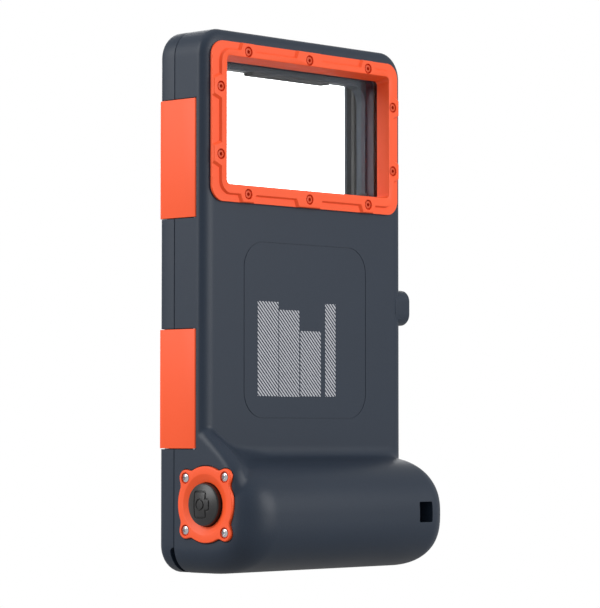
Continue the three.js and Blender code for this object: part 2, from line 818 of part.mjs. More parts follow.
function makeRearShell() {
  const slabFront = -backEdgeDeep;
  const backEdge = { across: backEdgeAcross, deep: backEdgeDeep };
  const slab = throughY(caseOutline(), slabFront, bodyDepth, backEdge);
  const ahead = trimBlock(slabFront - overrun, shellFront);
  const bay = roundedBox(-bayWidth / 2, bayBottom, bayWidth / 2, bayTop, bayRadius);
  const lowerBay = roundedBox(-bayWidth / 2, bayBottom, bayWidth / 2, cameraLandBottom, bayRadius);
  const gasketGroove = throughY(
    gasketRing(fitGap), shellFront - overrun, shellFront + gasketHeight,
  );
  const body = joined([slab, makeGripBody(), makeBoss()]);
  const opened = cut(body, [
    ahead,
    throughY(bay, 0, cameraLedgeFront),
    throughY(lowerBay, 0, bayFloor),
    gripHollow(),
    gasketGroove,
    panelGroove(),
    lanyardPassage(),
    ...cameraCuts(),
    ...buttonCuts(),
    ...bossCuts(),
    ...latchPlaces.map(latchPocket),
    ...plateScrewPlaces().map((place) => (
      rod(plateScrewShank + fitGap, 0, plateScrewLength + fitGap, outwardBack, place)
    )),
    ...boardPostPlaces().map((place) => (
      rod(boardPostHole, -overrun, boardScrewLength, outwardRight, place)
    )),
  ]);
  return opened;
}

// Relief between cover and shell round one lower corner, to pry the cover off
function pryRelief(side) {
  const centreAcross = side * (halfWidth - outlineRadius);
  const from = side > 0 ? 1.5 * Math.PI + pryMargin : Math.PI + pryMargin;
  const to = side > 0 ? 2 * Math.PI - pryMargin : 1.5 * Math.PI - pryMargin;
  const shape = new THREE.Shape();
  shape.absarc(centreAcross, outlineRadius, outlineRadius + overrun, from, to, false);
  shape.absarc(centreAcross, outlineRadius, outlineRadius - pryInset, to, from, true);
  return throughY(shape, seamDepth - pryGap, seamDepth + overrun);
}

function makeFrontCover() {
  const slab = throughY(caseOutline(), 0, bodyDepth, { across: frontEdge, deep: frontEdge });
  const behind = trimBlock(seamDepth, bodyDepth + overrun);
  const seen = roundedBox(-windowWidth / 2, windowBottom, windowWidth / 2, windowTop, windowCorner);
  const slopeDepth = windowRecess - surroundLip;
  const surround = windowSurround(slopeDepth);
  const paneHalf = windowWidth / 2 + windowMargin + fitGap;
  const paneRoom = roundedBox(
    -paneHalf, windowBottom - windowMargin - fitGap, paneHalf, windowTop + windowMargin + fitGap,
    windowCorner + fitGap,
  );
  return cut(slab, [
    behind,
    surround,
    throughY(seen, -overrun, seamDepth),
    throughY(paneRoom, windowRecess, seamDepth + overrun),
    pryRelief(-1),
    pryRelief(1),
    ...latchPlaces.map(latchPocket),
    ...latchPlaces.map(fingerHollow),
  ]);
}

// The sloping walls round the window: a tapered plug that is cut out of the cover
function windowSurround(slopeDepth) {
  const half = windowWidth / 2 + surroundAcross;
  const outline = roundedBox(
    -half, windowBottom - surroundAcross, half, windowTop + surroundAcross, surroundCorner,
  );
  const plug = new THREE.ExtrudeGeometry(outline, {
    depth: overrun,
    bevelEnabled: true,
    bevelThickness: slopeDepth,
    bevelSize: surroundAcross,
    bevelOffset: -surroundAcross,
    bevelSegments: 1,
    curveSegments: arcSteps,
  });
  const axes = new THREE.Matrix4().makeBasis(
    new THREE.Vector3(1, 0, 0),
    new THREE.Vector3(0, 0, 1),
    new THREE.Vector3(0, -1, 0),
  );
  const placed = solidOf(plug.applyMatrix4(axes));
  return placed.intersect(trimBlock(-overrun, bodyDepth));
}

function makeWindow() {
  const half = windowWidth / 2 + windowMargin;
  const outline = roundedBox(
    -half, windowBottom - windowMargin, half, windowTop + windowMargin, windowCorner,
  );
  const front = windowRecess + seatGap;
  return throughY(outline, front, front + windowThickness);
}

function makeWindowSeal() {
  const half = windowWidth / 2 + windowMargin;
  const outer = roundedBox(
    -half, windowBottom - windowMargin, half, windowTop + windowMargin, windowCorner,
  );
  const inner = roundedBox(
    -half + windowSealWidth, windowBottom - windowMargin + windowSealWidth,
    half - windowSealWidth, windowTop + windowMargin - windowSealWidth, windowCorner,
  );
  const front = windowRecess + seatGap + windowThickness + seatGap;
  return throughY(ringShape(outer, inner), front, seamDepth - seatGap);
}

function makeCoverGasket() {
  return throughY(gasketRing(0), shellFront + seatGap, shellFront + gasketHeight - seatGap);
}

// Camera frame: collar down to the pane, raised pads round its screws, channels between
function makeCameraFrame() {
  const outer = centredBox(frameWidth, frameHeight, cameraHeight, frameCorner);
  const opening = centredBox(openingWidth, openingHeight, cameraHeight, openingCorner);
  const collarShape = centredBox(
    openingWidth + 2 * collarWall, openingHeight + 2 * collarWall, cameraHeight, openingCorner + collarWall,
  );
  const edge = { across: frameEdge, deep: frameEdge };
  const face = throughY(outer, bodyDepth / 2, frameFace, edge)
    .intersect(trimBlock(bodyDepth + seatGap, frameFace + overrun));
  const collar = throughY(collarShape, paneFront + paneThickness + seatGap, frameFace - frameEdge);
  const strip = centredBox(
    openingWidth + 2 * stripWidth, openingHeight + 2 * stripWidth, cameraHeight, openingCorner + stripWidth,
  );
  const around = centredBox(frameWidth + overrun, frameHeight + overrun, cameraHeight, frameCorner);
  const channelRing = throughY(ringShape(around, strip), frameFace - channelDepth, frameFace + overrun);
  const pads = frameScrewPlaces.map((place) => framePad(place));
  const screwRooms = frameScrewPlaces.map((place) => {
    const head = new THREE.Vector3(place.across, frameFace, place.up);
    const deep = frameScrewHeadHeight + fitGap;
    const wide = frameScrewHead + fitGap;
    const narrow = frameScrewShank + fitGap;
    return turned([
      [0, -frameScrewLength], [narrow, -frameScrewLength], [narrow, -deep],
      [wide, -fitGap], [wide, overrun], [0, overrun],
    ], outwardBack, head, holeSides);
  });
  return cut(face.add(collar), [
    throughY(opening, 0, frameFace + overrun),
    cut(channelRing, pads),
    ...screwRooms,
  ]);
}

function framePad(place) {
  const half = place.pad / 2;
  const reach = frameHeight / 2;
  const inner = -half - padSlant;
  const upright = place.edge === 'end';
  const sign = Math.sign(upright ? place.up - cameraHeight : place.across);
  const near = sign * stripWidth;
  const far = sign * reach;
  const points = [[inner, -near], [-inner, -near], [half, far], [-half, far]];
  const ordered = sign > 0 ? points : points.reverse();
  const placed = ordered.map(([along, out]) => (
    upright ? [place.across + along, place.up + out] : [place.across + out, place.up - along]
  ));
  return throughY(polygon(placed), bodyDepth, frameFace + 2 * overrun);
}

function makeCameraPane() {
  const outline = centredBox(paneWidth, paneHeight, cameraHeight, openingCorner + collarWall);
  return throughY(outline, paneFront, paneFront + paneThickness);
}

function makeCameraSeal() {
  const outer = centredBox(paneWidth, paneHeight, cameraHeight, openingCorner + collarWall);
  const inner = centredBox(
    paneWidth - 2 * paneSealWidth, paneHeight - 2 * paneSealWidth, cameraHeight, openingCorner,
  );
  const from = paneFront - seatGap - paneSealHeight;
  return throughY(ringShape(outer, inner), from, from + paneSealHeight);
}

function countersunkScrew(place, axis, head, headHeight, shank, length, socket) {
  const points = [
    [0, -length], [shank, -length], [shank, -headHeight], [head, 0],
    [socket, 0], [socket, -screwSocketDepth], [0, -screwSocketDepth],
  ];
  return turned(points, axis, place, holeSides);
}

function makeFrameScrews() {
  return frameScrewPlaces.map((place) => countersunkScrew(
    new THREE.Vector3(place.across, frameFace - fitGap / 2, place.up), outwardBack,
    frameScrewHead, frameScrewHeadHeight, frameScrewShank, frameScrewLength - fitGap, frameScrewSocket,
  ));
}

// Shutter bezel: a disc with four screw lobes, a cone down to the button and a collar
function makeBezel() {
  const centre = new THREE.Vector3(halfWidth, buttonDepth, buttonHeight);
  const face = rod(bezelRadius, seatGap, bezelProud, outwardRight, centre, 2 * discSides);
  const lobes = bezelScrewPlaces().map((place) => (
    rod(bezelLobe, seatGap, bezelProud, outwardRight, place, discSides / 2)
  ));
  const collar = rod(bezelCollar, -bezelCollarDepth, bezelProud, outwardRight, centre, discSides);
  const throat = buttonRadius + fitGap;
  const cone = turned([
    [0, -bodyDepth / 2], [throat, -bodyDepth / 2], [throat, bezelProud - coneDepth],
    [coneRadius, bezelProud], [coneRadius, bezelProud + overrun], [0, bezelProud + overrun],
  ], outwardRight, centre);
  const screwRooms = bezelScrewPlaces().map((place) => (
    rod(bezelScrewShank + fitGap, -overrun, bezelProud + overrun, outwardRight, place)
  ));
  return cut(joined([face, collar, ...lobes]), [cone, ...screwRooms]);
}

function makeBezelScrews() {
  const seat = bezelProud + seatGap;
  const middle = seat + bezelScrewDome / 2;
  return bezelScrewPlaces().map((place) => turned([
    [0, -bezelScrewLength], [bezelScrewShank, -bezelScrewLength], [bezelScrewShank, seat],
    [bezelScrewHead, seat], [bezelScrewHead, middle],
    [bezelScrewHead * Math.SQRT1_2, seat + bezelScrewDome], [frameScrewSocket, seat + bezelScrewDome],
    [frameScrewSocket, middle], [0, middle],
  ], outwardRight, place, holeSides));
}

function makeButton() {
  const centre = new THREE.Vector3(halfWidth, buttonDepth, buttonHeight);
  const capBack = bezelProud - coneDepth - buttonCapDepth;
  const points = [[0, capBack], [buttonRadius, capBack]];
  for (let step = 0; step <= arcSteps; step += 1) {
    const angle = (Math.PI / 2) * (step / arcSteps);
    points.push([buttonRadius * Math.cos(angle), buttonFace + buttonDome * Math.sin(angle)]);
  }
  return turned(points, outwardRight, centre);
}

const plungerTop = bezelProud - coneDepth - buttonCapDepth - seatGap;
const stemTop = boardFace + switchBody + switchStem - halfWidth;

function makePlunger() {
  const centre = new THREE.Vector3(halfWidth, buttonDepth, buttonHeight);
  const end = stemTop + buttonTravel + seatGap;
  const head = plungerTop - plungerHeadHeight;
  return turned([
    [0, end], [plungerRadius, end], [plungerRadius, head],
    [plungerHead, head], [plungerHead, plungerTop], [0, plungerTop],
  ], outwardRight, centre);
}

function makeButtonSeal() {
  const centre = new THREE.Vector3(halfWidth, buttonDepth, buttonHeight);
  const back = -bezelCollarDepth - fitGap - buttonSealHeight;
  return turned([
    [plungerRadius + fitGap, back], [bezelCollar, back],
    [bezelCollar, back + buttonSealHeight], [plungerRadius + fitGap, back + buttonSealHeight],
    [plungerRadius + fitGap, back],
  ], outwardRight, centre);
}

function makeSwitch() {
  const bodyRight = boardFace + switchBody;
  const half = switchSize / 2;
  const shape = roundedBox(
    buttonDepth - half, buttonHeight - half, buttonDepth + half, buttonHeight + half, switchStem,
  );
  const base = new THREE.Vector3(bodyRight, buttonDepth, buttonHeight);
  const stem = rod(switchStemRadius, -switchStem, switchStem, outwardRight, base);
  return throughX(shape, boardFace + seatGap, bodyRight).add(stem);
}

function makeBoard() {
  const outline = roundedBox(
    boardFront, buttonHeight - boardHeight / 2,
    boardFront + boardDeep, buttonHeight + boardHeight / 2, boardCorner,
  );
  const holes = boardPostPlaces().map((place) => (
    rod(boardScrewShank + fitGap, -bodyDepth / 2, bodyDepth / 2, outwardRight, place)
  ));
  return cut(throughX(outline, boardFace - boardThickness, boardFace), holes);
}

function makeBoardScrews() {
  const seat = boardThickness + 2 * seatGap;
  return boardPostPlaces().map((place) => turned([
    [0, -seat - boardScrewHeadHeight], [boardScrewHead, -seat - boardScrewHeadHeight],
    [boardScrewHead, -seat], [boardScrewShank, -seat],
    [boardScrewShank, boardScrewLength - seat - fitGap], [0, boardScrewLength - seat - fitGap],
  ], outwardRight, place, holeSides));
}

function makeElectronicsPlate() {
  const outline = roundedBox(plateLeft, plateBottom, plateRight, plateTop, plateCorner);
  const rear = bayFloor - seatGap;
  const holes = plateScrewPlaces().map((place) => turned([
    [0, -overrun], [plateScrewHead + fitGap, -overrun], [plateScrewHead + fitGap, fitGap],
    [plateScrewShank + fitGap, plateScrewHeadHeight + fitGap],
    [plateScrewShank + fitGap, plateScrewLength], [0, plateScrewLength],
  ], outwardBack, place, holeSides));
  return cut(throughY(outline, rear - plateThickness, rear), holes);
}

function makePlateScrews() {
  return plateScrewPlaces().map((place) => countersunkScrew(
    place.clone().add(new THREE.Vector3(0, seatGap, 0)), outwardFront,
    plateScrewHead, plateScrewHeadHeight, plateScrewShank, plateScrewLength - fitGap, frameScrewSocket,
  ));
}

const cellMiddleHeight = (neckBottom + neckTop) / 2;

// Battery holder: a cup on the back of the electronics plate, open towards the grip
function makeBatteryHolder() {
  const origin = new THREE.Vector3(cellAcross, bayFloor, cellMiddleHeight);
  const room = cellRadius + fitGap;
  const rim = holderFloor + cellHeight;
  return turned([
    [0, 0], [room + holderWall, 0], [room + holderWall, rim],
    [room, rim], [room, holderFloor], [0, holderFloor],
  ], outwardBack, origin);
}

function makeCoinCell() {
  const origin = new THREE.Vector3(cellAcross, bayFloor + holderFloor, cellMiddleHeight);
  return rod(cellRadius, seatGap, seatGap + cellHeight, outwardBack, origin, discSides);
}

function makeBossPlate() {
  const rim = bossRim + fitGap;
  const outline = roundedBox(
    bossDepth + rim, bossBottom + rim, bodyDepth - rim, bossTop - rim, bossRadius - rim,
  );
  const centre = new THREE.Vector3(bossFace, bossMiddleDepth, bossMiddleHeight);
  const hole = rod(insertRadius + fitGap, -bodyDepth, bodyDepth, outwardLeft, centre, discSides);
  return throughX(outline, bossFace, bossFace + bossPlate - seatGap).subtract(hole);
}

function makeInsert() {
  const centre = new THREE.Vector3(bossFace, bossMiddleDepth, bossMiddleHeight);
  return turned([
    [0, -insertLength], [insertRootRadius, -insertLength], [insertRootRadius, -insertFlange],
    [insertRadius, -insertFlange], [insertRadius, insertProud], [insertBore, insertProud],
    [insertBore, insertFloor - insertLength], [0, insertFloor - insertLength],
  ], outwardLeft, centre);
}

function makeBackPad() {
  const half = bayWidth / 2 - padInset;
  const outline = roundedBox(-half, plateTop + padInset, half, padTop, padCorner);
  return throughY(outline, bayFloor - seatGap - padThickness, bayFloor - seatGap);
}

function makeEdgePad(side, middle) {
  const inner = bayWidth / 2 - edgePadThickness;
  const outer = bayWidth / 2 - seatGap;
  const from = side > 0 ? inner : -outer;
  const to = side > 0 ? outer : -inner;
  const outline = roundedBox(
    padFront, middle - edgePadLength / 2, cameraLedgeFront, middle + edgePadLength / 2, edgePadRound,
  );
  return throughX(outline, from, to);
}

function makeEndPad(bottom) {
  const outline = roundedBox(
    -endPadLength / 2, bottom, endPadLength / 2, bottom + edgePadThickness, edgePadThickness / 3,
  );
  return throughY(outline, padFront, cameraLedgeFront - seatGap);
}

addPiece('rear_shell', makeRearShell(), plastic);
addPiece('front_cover', makeFrontCover(), plastic);
addPiece('front_window', makeWindow(), clear);
addPiece('front_window_seal', makeWindowSeal(), rubber);
addPiece('cover_gasket', makeCoverGasket(), rubber);
addPiece('camera_frame', makeCameraFrame(), orange);
addPiece('camera_window', makeCameraPane(), clear);
addPiece('camera_window_seal', makeCameraSeal(), rubber);
addCopies('camera_frame_screw', makeFrameScrews(), steel);
for (const place of latchPlaces) {
  addPiece(`latch_${place.name}`, makeLatch(place), orange);
  addPiece(`latch_pin_${place.name}`, makePin(place), steel);
}
addPiece('shutter_bezel', makeBezel(), orange);
addCopies('shutter_bezel_screw', makeBezelScrews(), steel);
addPiece('shutter_button', makeButton(), rubber);
addPiece('shutter_plunger', makePlunger(), glossBlack);
addPiece('shutter_seal', makeButtonSeal(), rubber);
addPiece('shutter_switch', makeSwitch(), glossBlack);
addPiece('circuit_board', makeBoard(), greenBoard);
addCopies('circuit_board_screw', makeBoardScrews(), steel);
addPiece('electronics_plate', makeElectronicsPlate(), glossBlack);
addCopies('electronics_plate_screw', makePlateScrews(), steel);
addPiece('battery_holder', makeBatteryHolder(), glossBlack);
addPiece('coin_cell', makeCoinCell(), steel);
addPiece('boss_end_plate', makeBossPlate(), glossBlack);
addPiece('tripod_insert', makeInsert(), brass);
addPiece('back_pad', makeBackPad(), foam);
for (const [index, share] of edgePadShares.entries()) {
  const level = index === 0 ? 'lower' : 'upper';
  const middle = bayBottom + share * (bayTop - bayBottom);
  addPiece(`edge_pad_left_${level}`, makeEdgePad(-1, middle), foam);
  addPiece(`edge_pad_right_${level}`, makeEdgePad(1, middle), foam);
}
addPiece('end_pad_bottom', makeEndPad(bayBottom + seatGap), foam);
addPiece('end_pad_top', makeEndPad(bayTop - seatGap - edgePadThickness), foam);

export default housing;
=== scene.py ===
import math

import bmesh
import bpy
import numpy as np
from mathutils import Matrix, Vector


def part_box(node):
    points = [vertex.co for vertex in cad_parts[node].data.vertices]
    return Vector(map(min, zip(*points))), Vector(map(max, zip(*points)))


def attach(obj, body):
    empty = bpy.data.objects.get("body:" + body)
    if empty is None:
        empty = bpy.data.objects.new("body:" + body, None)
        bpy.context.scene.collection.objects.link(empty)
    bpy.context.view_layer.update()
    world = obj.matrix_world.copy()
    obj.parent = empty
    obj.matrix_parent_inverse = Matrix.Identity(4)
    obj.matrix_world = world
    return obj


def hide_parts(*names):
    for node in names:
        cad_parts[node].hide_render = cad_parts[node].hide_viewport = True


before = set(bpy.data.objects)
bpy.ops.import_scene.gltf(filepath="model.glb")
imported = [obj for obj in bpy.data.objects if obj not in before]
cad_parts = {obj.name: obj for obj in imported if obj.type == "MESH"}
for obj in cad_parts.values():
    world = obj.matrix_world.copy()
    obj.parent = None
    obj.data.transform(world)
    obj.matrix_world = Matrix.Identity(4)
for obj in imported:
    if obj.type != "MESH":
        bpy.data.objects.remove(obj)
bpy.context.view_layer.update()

scene = bpy.context.scene
mm = 0.001

# Layout millimetres: x from the middle of the case, y from its front face, z from its base
coverLow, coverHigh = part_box("front_cover")
caseOrigin = np.array([(coverLow.x + coverHigh.x) / 2, coverLow.y, 0.0])


class Sizes(dict):
    # A dictionary whose values are also read as sizes.name
    __getattr__ = dict.__getitem__


def layoutBox(node):
    return [(np.array(corner) - caseOrigin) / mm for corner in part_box(node)]


case = Sizes(half=51.2, height=186.4, depth=22.2, corner=9.5, seam=8.0, fitGap=0.3, seatGap=0.15)
reachOver = 2.0  # how far a cutting tool goes past the skin


# Small tools for meshes

def makeObject(name, points, faces, edges=()):
    mesh = bpy.data.meshes.new(name)
    placed = np.asarray(points, float) * mm + caseOrigin
    mesh.from_pydata(placed.tolist(), list(edges), faces)
    piece = bpy.data.objects.new(name, mesh)
    scene.collection.objects.link(piece)
    return piece


def faceOutwards(piece, mergeUnder=0.0):
    work = bmesh.new()
    work.from_mesh(piece.data)
    if mergeUnder:
        bmesh.ops.remove_doubles(work, verts=work.verts, dist=mergeUnder * mm)
    bmesh.ops.recalc_face_normals(work, faces=work.faces)
    work.to_mesh(piece.data)
    work.free()
    return piece


def settle(piece):
    # Turns the evaluated modifiers into the piece's plain mesh
    graph = bpy.context.evaluated_depsgraph_get()
    mesh = bpy.data.meshes.new_from_object(piece.evaluated_get(graph))
    before = piece.data
    piece.modifiers.clear()
    piece.data = mesh
    mesh.name = piece.name
    bpy.data.meshes.remove(before)
    return piece


def discard(piece):
    mesh = piece.data
    bpy.data.objects.remove(piece)
    bpy.data.meshes.remove(mesh)


def joinPieces(pieces):
    # Several meshes as one piece, without a Boolean
    joined = bmesh.new()
    for piece in pieces:
        joined.from_mesh(piece.data)
    joined.to_mesh(pieces[0].data)
    joined.free()
    for piece in pieces[1:]:
        discard(piece)
    return pieces[0]


def combine(target, tools, operation="DIFFERENCE"):
    # Cuts the tools out of the piece, joins them with it or keeps what lies inside them, and uses them up
    group = bpy.data.collections.new("tools")
    for tool in tools:
        group.objects.link(tool)
    modifier = target.modifiers.new("combine", "BOOLEAN")
    modifier.operand_type, modifier.collection = "COLLECTION", group
    modifier.operation, modifier.solver = operation, "EXACT"
    settle(target)
    for tool in tools:
        discard(tool)
    bpy.data.collections.remove(group)
    return target


def arc(centre, radius, start, end, steps):
    # Points on an arc, angles in quarter turns
    angles = np.linspace(start, end, steps + 1) * math.pi / 2
    return [(centre[0] + radius * math.cos(a), centre[1] + radius * math.sin(a)) for a in angles]


def quarterRound(reach, count):
    # Steps (inset, drop) of a rounded edge, from its side to its face
    turns = np.linspace(0, 1, count) * math.pi / 2
    return [(reach * (1 - math.cos(turn)), reach * (1 - math.sin(turn))) for turn in turns]


def roundedRing(left, bottom, right, top, radius, cornerSteps=8, sideSteps=1):
    # Counter-clockwise outline of a rounded rectangle, always with the same number of points
    corners = [((right - radius, bottom + radius), 3), ((right - radius, top - radius), 0),
               ((left + radius, top - radius), 1), ((left + radius, bottom + radius), 2)]
    ring = []
    for index, (centre, quarter) in enumerate(corners):
        ring += arc(centre, radius, quarter, quarter + 1, cornerSteps)
        after, turn = corners[(index + 1) % 4]
        start, end = np.array(ring[-1]), np.array(arc(after, radius, turn, turn + 1, 1)[0])
        ring += [tuple(start + (end - start) * (step / sideSteps)) for step in range(1, sideSteps)]
    return np.array(ring)


def centredRing(halfWidth, halfHeight, middle, radius, cornerSteps=8):
    return roundedRing(-halfWidth, middle - halfHeight, halfWidth, middle + halfHeight, radius, cornerSteps)


def grownRing(box, radius, grow=0.0, cornerSteps=8):
    # Outline of the box (left, bottom, right, top), grown by the same on all sides
    left, bottom, right, top = box
    return roundedRing(left - grow, bottom - grow, right + grow, top + grow, max(radius + grow, 0.3), cornerSteps)


def alongY(ring, depth):
    return np.insert(np.asarray(ring, float), 1, depth, axis=1)


def alongX(ring, across):
    return np.insert(np.asarray(ring, float), 0, across, axis=1)


def loft(name, rings, closed=False):
    # Quads between rings of equal length: closed joins the last ring to the first, else both ends are capped
    count, levels = len(rings[0]), len(rings)
    faces = []
    for level in range(levels if closed else levels - 1):
        near, far = level * count, (level + 1) % levels * count
        for step in range(count):
            after = (step + 1) % count
            faces.append((near + step, near + after, far + after, far + step))
    if not closed:
        faces += [tuple(range(count))[::-1], tuple(range((levels - 1) * count, levels * count))]
    return faceOutwards(makeObject(name, np.concatenate(rings), faces))


def loftY(name, steps, closed=False):
    # The same from pairs of an outline and its depth
    return loft(name, [alongY(outline, depth) for outline, depth in steps], closed)


def prismY(outline, start, end):
    return loftY("tool", [(outline, start), (outline, end)])


def prismX(outline, start, end):
    return loft("tool", [alongX(outline, start), alongX(outline, end)])


def ringPrism(outer, inner, start, end):
    return loftY("tool", [(outer, start), (outer, end), (inner, end), (inner, start)], True)


def turned(name, profile, origin, axis, sides):
    # A turned piece: profile points are (radius, place along the axis), and a radius of zero is a pole
    axis = Vector(axis).normalized()
    across = axis.orthogonal().normalized()
    other = axis.cross(across)
    points, rows, faces = [], [], []
    for radius, place in profile:
        centre, count = Vector(origin) + axis * place, sides if radius > 0 else 1
        rows.append([len(points) + side % count for side in range(sides)])
        for side in range(count):
            angle = 2 * math.pi * side / sides
            points.append(tuple(centre + (across * math.cos(angle) + other * math.sin(angle)) * radius))
    for near, far in zip(rows, rows[1:]):
        for side in range(sides):
            after = (side + 1) % sides
            face = tuple(dict.fromkeys((near[side], near[after], far[after], far[side])))
            if len(face) > 2:
                faces.append(face)
    return faceOutwards(makeObject(name, points, faces))


def rod(radius, start, end, origin, axis, sides):
    return turned("tool", [(0, start), (radius, start), (radius, end), (0, end)], origin, axis, sides)


def camelName(node):
    first, *others = node.split("_")
    return first + "".join(word.title() for word in others)


def shade(piece, angle):
    piece.data.shade_smooth()
    piece.data.set_sharp_from_angle(angle=math.radians(angle))
    return piece


def setMaterial(piece, material):
    piece.data.materials.clear()
    piece.data.materials.append(material)


def finishPiece(piece, material, body, nodes, angle=35):
    shade(piece, angle)
    setMaterial(piece, material)
    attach(piece, body)
    if nodes:
        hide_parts(*nodes)


# Camera at the photograph's place, a little below the middle of the case and turned up to it
viewSetting = Sizes(place=(723.93, 701.62, 47.65), heading=226.679, rise=2.626, focal=2824.2, longSide=608,
                    sensor=36, clipStart=0.02)


def placeCamera():
    data = bpy.data.cameras.new("camera")
    camera = bpy.data.objects.new("camera", data)
    scene.collection.objects.link(camera)
    heading, rise = math.radians(viewSetting.heading), math.radians(viewSetting.rise)
    forward = Vector((math.sin(heading), math.cos(heading), 0)) * math.cos(rise) + Vector((0, 0, math.sin(rise)))
    camera.location = Vector(np.array(viewSetting.place) * mm + caseOrigin)
    camera.rotation_euler = forward.to_track_quat("-Z", "Y").to_euler()
    data.sensor_width, data.clip_start = viewSetting.sensor, viewSetting.clipStart
    data.lens = viewSetting.focal * data.sensor_width / viewSetting.longSide
    scene.camera = camera


placeCamera()
print("camera placed")


# Node trees: a shader group puts out colours, values and heights only

def newTree(kind, name, inputs, outputs):
    # A tree with named sockets, each given as its label, its kind and sometimes its value
    tree = bpy.data.node_groups.new(name, kind)
    for way, sockets in (("INPUT", inputs), ("OUTPUT", outputs)):
        for label, socketKind, *value in sockets:
            socket = tree.interface.new_socket(label, in_out=way, socket_type="NodeSocket" + socketKind)
            if value:
                socket.default_value = value[0]
    return tree, tree.nodes.new("NodeGroupInput").outputs, tree.nodes.new("NodeGroupOutput").inputs


def feed(tree, node, inputs):
    # Each input takes a value or the socket that feeds it
    for key, value in inputs.items():
        if isinstance(value, bpy.types.NodeSocket):
            tree.links.new(value, node.inputs[key])
        else:
            node.inputs[key].default_value = value
    return node


def addNode(tree, kind, inputs, **settings):
    node = tree.nodes.new(kind)
    for name, value in settings.items():
        setattr(node, name, value)
    return feed(tree, node, inputs)


def addMath(tree, operation, first, second):
    return addNode(tree, "ShaderNodeMath", {0: first, 1: second}, operation=operation).outputs[0]


def addVector(tree, **inputs):
    return addNode(tree, "ShaderNodeCombineXYZ", inputs).outputs[0]


def addNoise(tree, coordinates, size, detail, roughness):
    inputs = {"Vector": coordinates, "Scale": size, "Detail": detail, "Roughness": roughness}
    return addNode(tree, "ShaderNodeTexNoise", inputs).outputs["Fac"]


def buildGrain():
    # Moulded grain: a fine stipple, a broad unevenness in the colour and a shift in the gloss
    group, given, result = newTree("ShaderNodeTree", "mouldedGrain", [
        ("Color", "Color", (0.5, 0.5, 0.5, 1)), ("Stipple Scale", "Float", 2600.0), ("Stipple Tone", "Float", 0.12),
        ("Mottle Tone", "Float", 0.06), ("Roughness", "Float", 0.55), ("Roughness Spread", "Float", 0.1),
    ], [("Color", "Color"), ("Roughness", "Float"), ("Height", "Float")])
    place = group.nodes.new("ShaderNodeTexCoord").outputs["Object"]
    stipple = addNoise(group, place, given["Stipple Scale"], 2.0, 0.6)
    mottle = addNoise(group, place, 34.0, 3.0, 0.55)
    swing = lambda noise, share: addMath(group, "MULTIPLY", addMath(group, "SUBTRACT", noise, 0.5), given[share])
    tone = addMath(group, "ADD", swing(stipple, "Stipple Tone"), swing(mottle, "Mottle Tone"))
    tint = addNode(group, "ShaderNodeVectorMath", {0: given["Color"], "Scale": addMath(group, "ADD", tone, 1.0)},
                   operation="SCALE")
    group.links.new(tint.outputs[0], result["Color"])
    roughness = addMath(group, "ADD", given["Roughness"], swing(mottle, "Roughness Spread"))
    group.links.new(roughness, result["Roughness"])
    group.links.new(stipple, result["Height"])
    return group


grainGroup = buildGrain()


def newMaterial(name):
    material = bpy.data.materials.new(name)
    material.use_nodes = True
    tree = material.node_tree
    return material, tree, tree.nodes["Principled BSDF"]


def mixSurface(tree, output, share, first, second):
    blend = addNode(tree, "ShaderNodeMixShader", {0: share, 1: first.outputs[0], 2: second.outputs[0]})
    tree.links.new(blend.outputs[0], output.inputs["Surface"])


def moulded(name, color, stipple, rough, bump, mottle=0.1, specular=0.5, coat=0.0, metallic=0.0):
    # stipple: scale and tone; rough: roughness and its spread; bump: strength and depth in millimetres
    material, tree, surface = newMaterial(name)
    grain = addNode(tree, "ShaderNodeGroup", {
        "Color": (*color, 1), "Stipple Scale": stipple[0], "Stipple Tone": stipple[1], "Mottle Tone": mottle,
        "Roughness": rough[0], "Roughness Spread": rough[1],
    }, node_tree=grainGroup).outputs
    relief = addNode(tree, "ShaderNodeBump", {"Strength": bump[0], "Distance": bump[1] * mm, "Height": grain["Height"]})
    feed(tree, surface, {
        "Base Color": grain["Color"], "Roughness": grain["Roughness"], "Normal": relief.outputs[0],
        "Metallic": metallic, "Specular IOR Level": specular, "Coat Weight": coat, "Coat Roughness": 0.15,
    })
    return material


shellPlastic = moulded("shellPlastic", (0.0167, 0.0272, 0.046), stipple=(2300, 0.34), rough=(0.46, 0.12),
                       bump=(0.5, 0.04), mottle=0.12, specular=0.32)
orangePlastic = moulded("orangePlastic", (1.0, 0.108, 0.026), stipple=(1500, 0.03), rough=(0.45, 0.08),
                        bump=(0.12, 0.02), mottle=0.04, specular=0.32)
# The screws' orange is darker than the frame's, partly as their own coating and partly as painted shade for their
# sockets and the rooms they sit in
screwOrange = moulded("screwOrange", (0.74, 0.078, 0.017), stipple=(1500, 0.03), rough=(0.42, 0.08),
                      bump=(0.1, 0.02), mottle=0.04, specular=0.32)
blackRubber = moulded("blackRubber", (0.012, 0.012, 0.013), stipple=(1800, 0.2), rough=(0.34, 0.08), bump=(0.12, 0.02))
sealRubber = moulded("sealRubber", (0.014, 0.014, 0.015), stipple=(1200, 0.2), rough=(0.6, 0.1), bump=(0.2, 0.03))
blackPlastic = moulded("blackPlastic", (0.02, 0.021, 0.023), stipple=(1500, 0.15), rough=(0.45, 0.1), bump=(0.2, 0.03))
glossBlack = moulded("glossBlack", (0.008, 0.008, 0.009), stipple=(600, 0.05), rough=(0.12, 0.05),
                     bump=(0.03, 0.01), coat=0.5)
padFoam = moulded("padFoam", (0.030, 0.031, 0.035), stipple=(900, 0.5), rough=(0.92, 0.05),
                  bump=(0.8, 0.12), mottle=0.15)
screwSteel = moulded("screwSteel", (0.62, 0.63, 0.65), stipple=(900, 0.1), rough=(0.24, 0.12),
                     bump=(0.05, 0.01), metallic=1.0)
insertBrass = moulded("insertBrass", (0.86, 0.68, 0.36), stipple=(900, 0.08), rough=(0.2, 0.1),
                      bump=(0.05, 0.01), metallic=1.0)
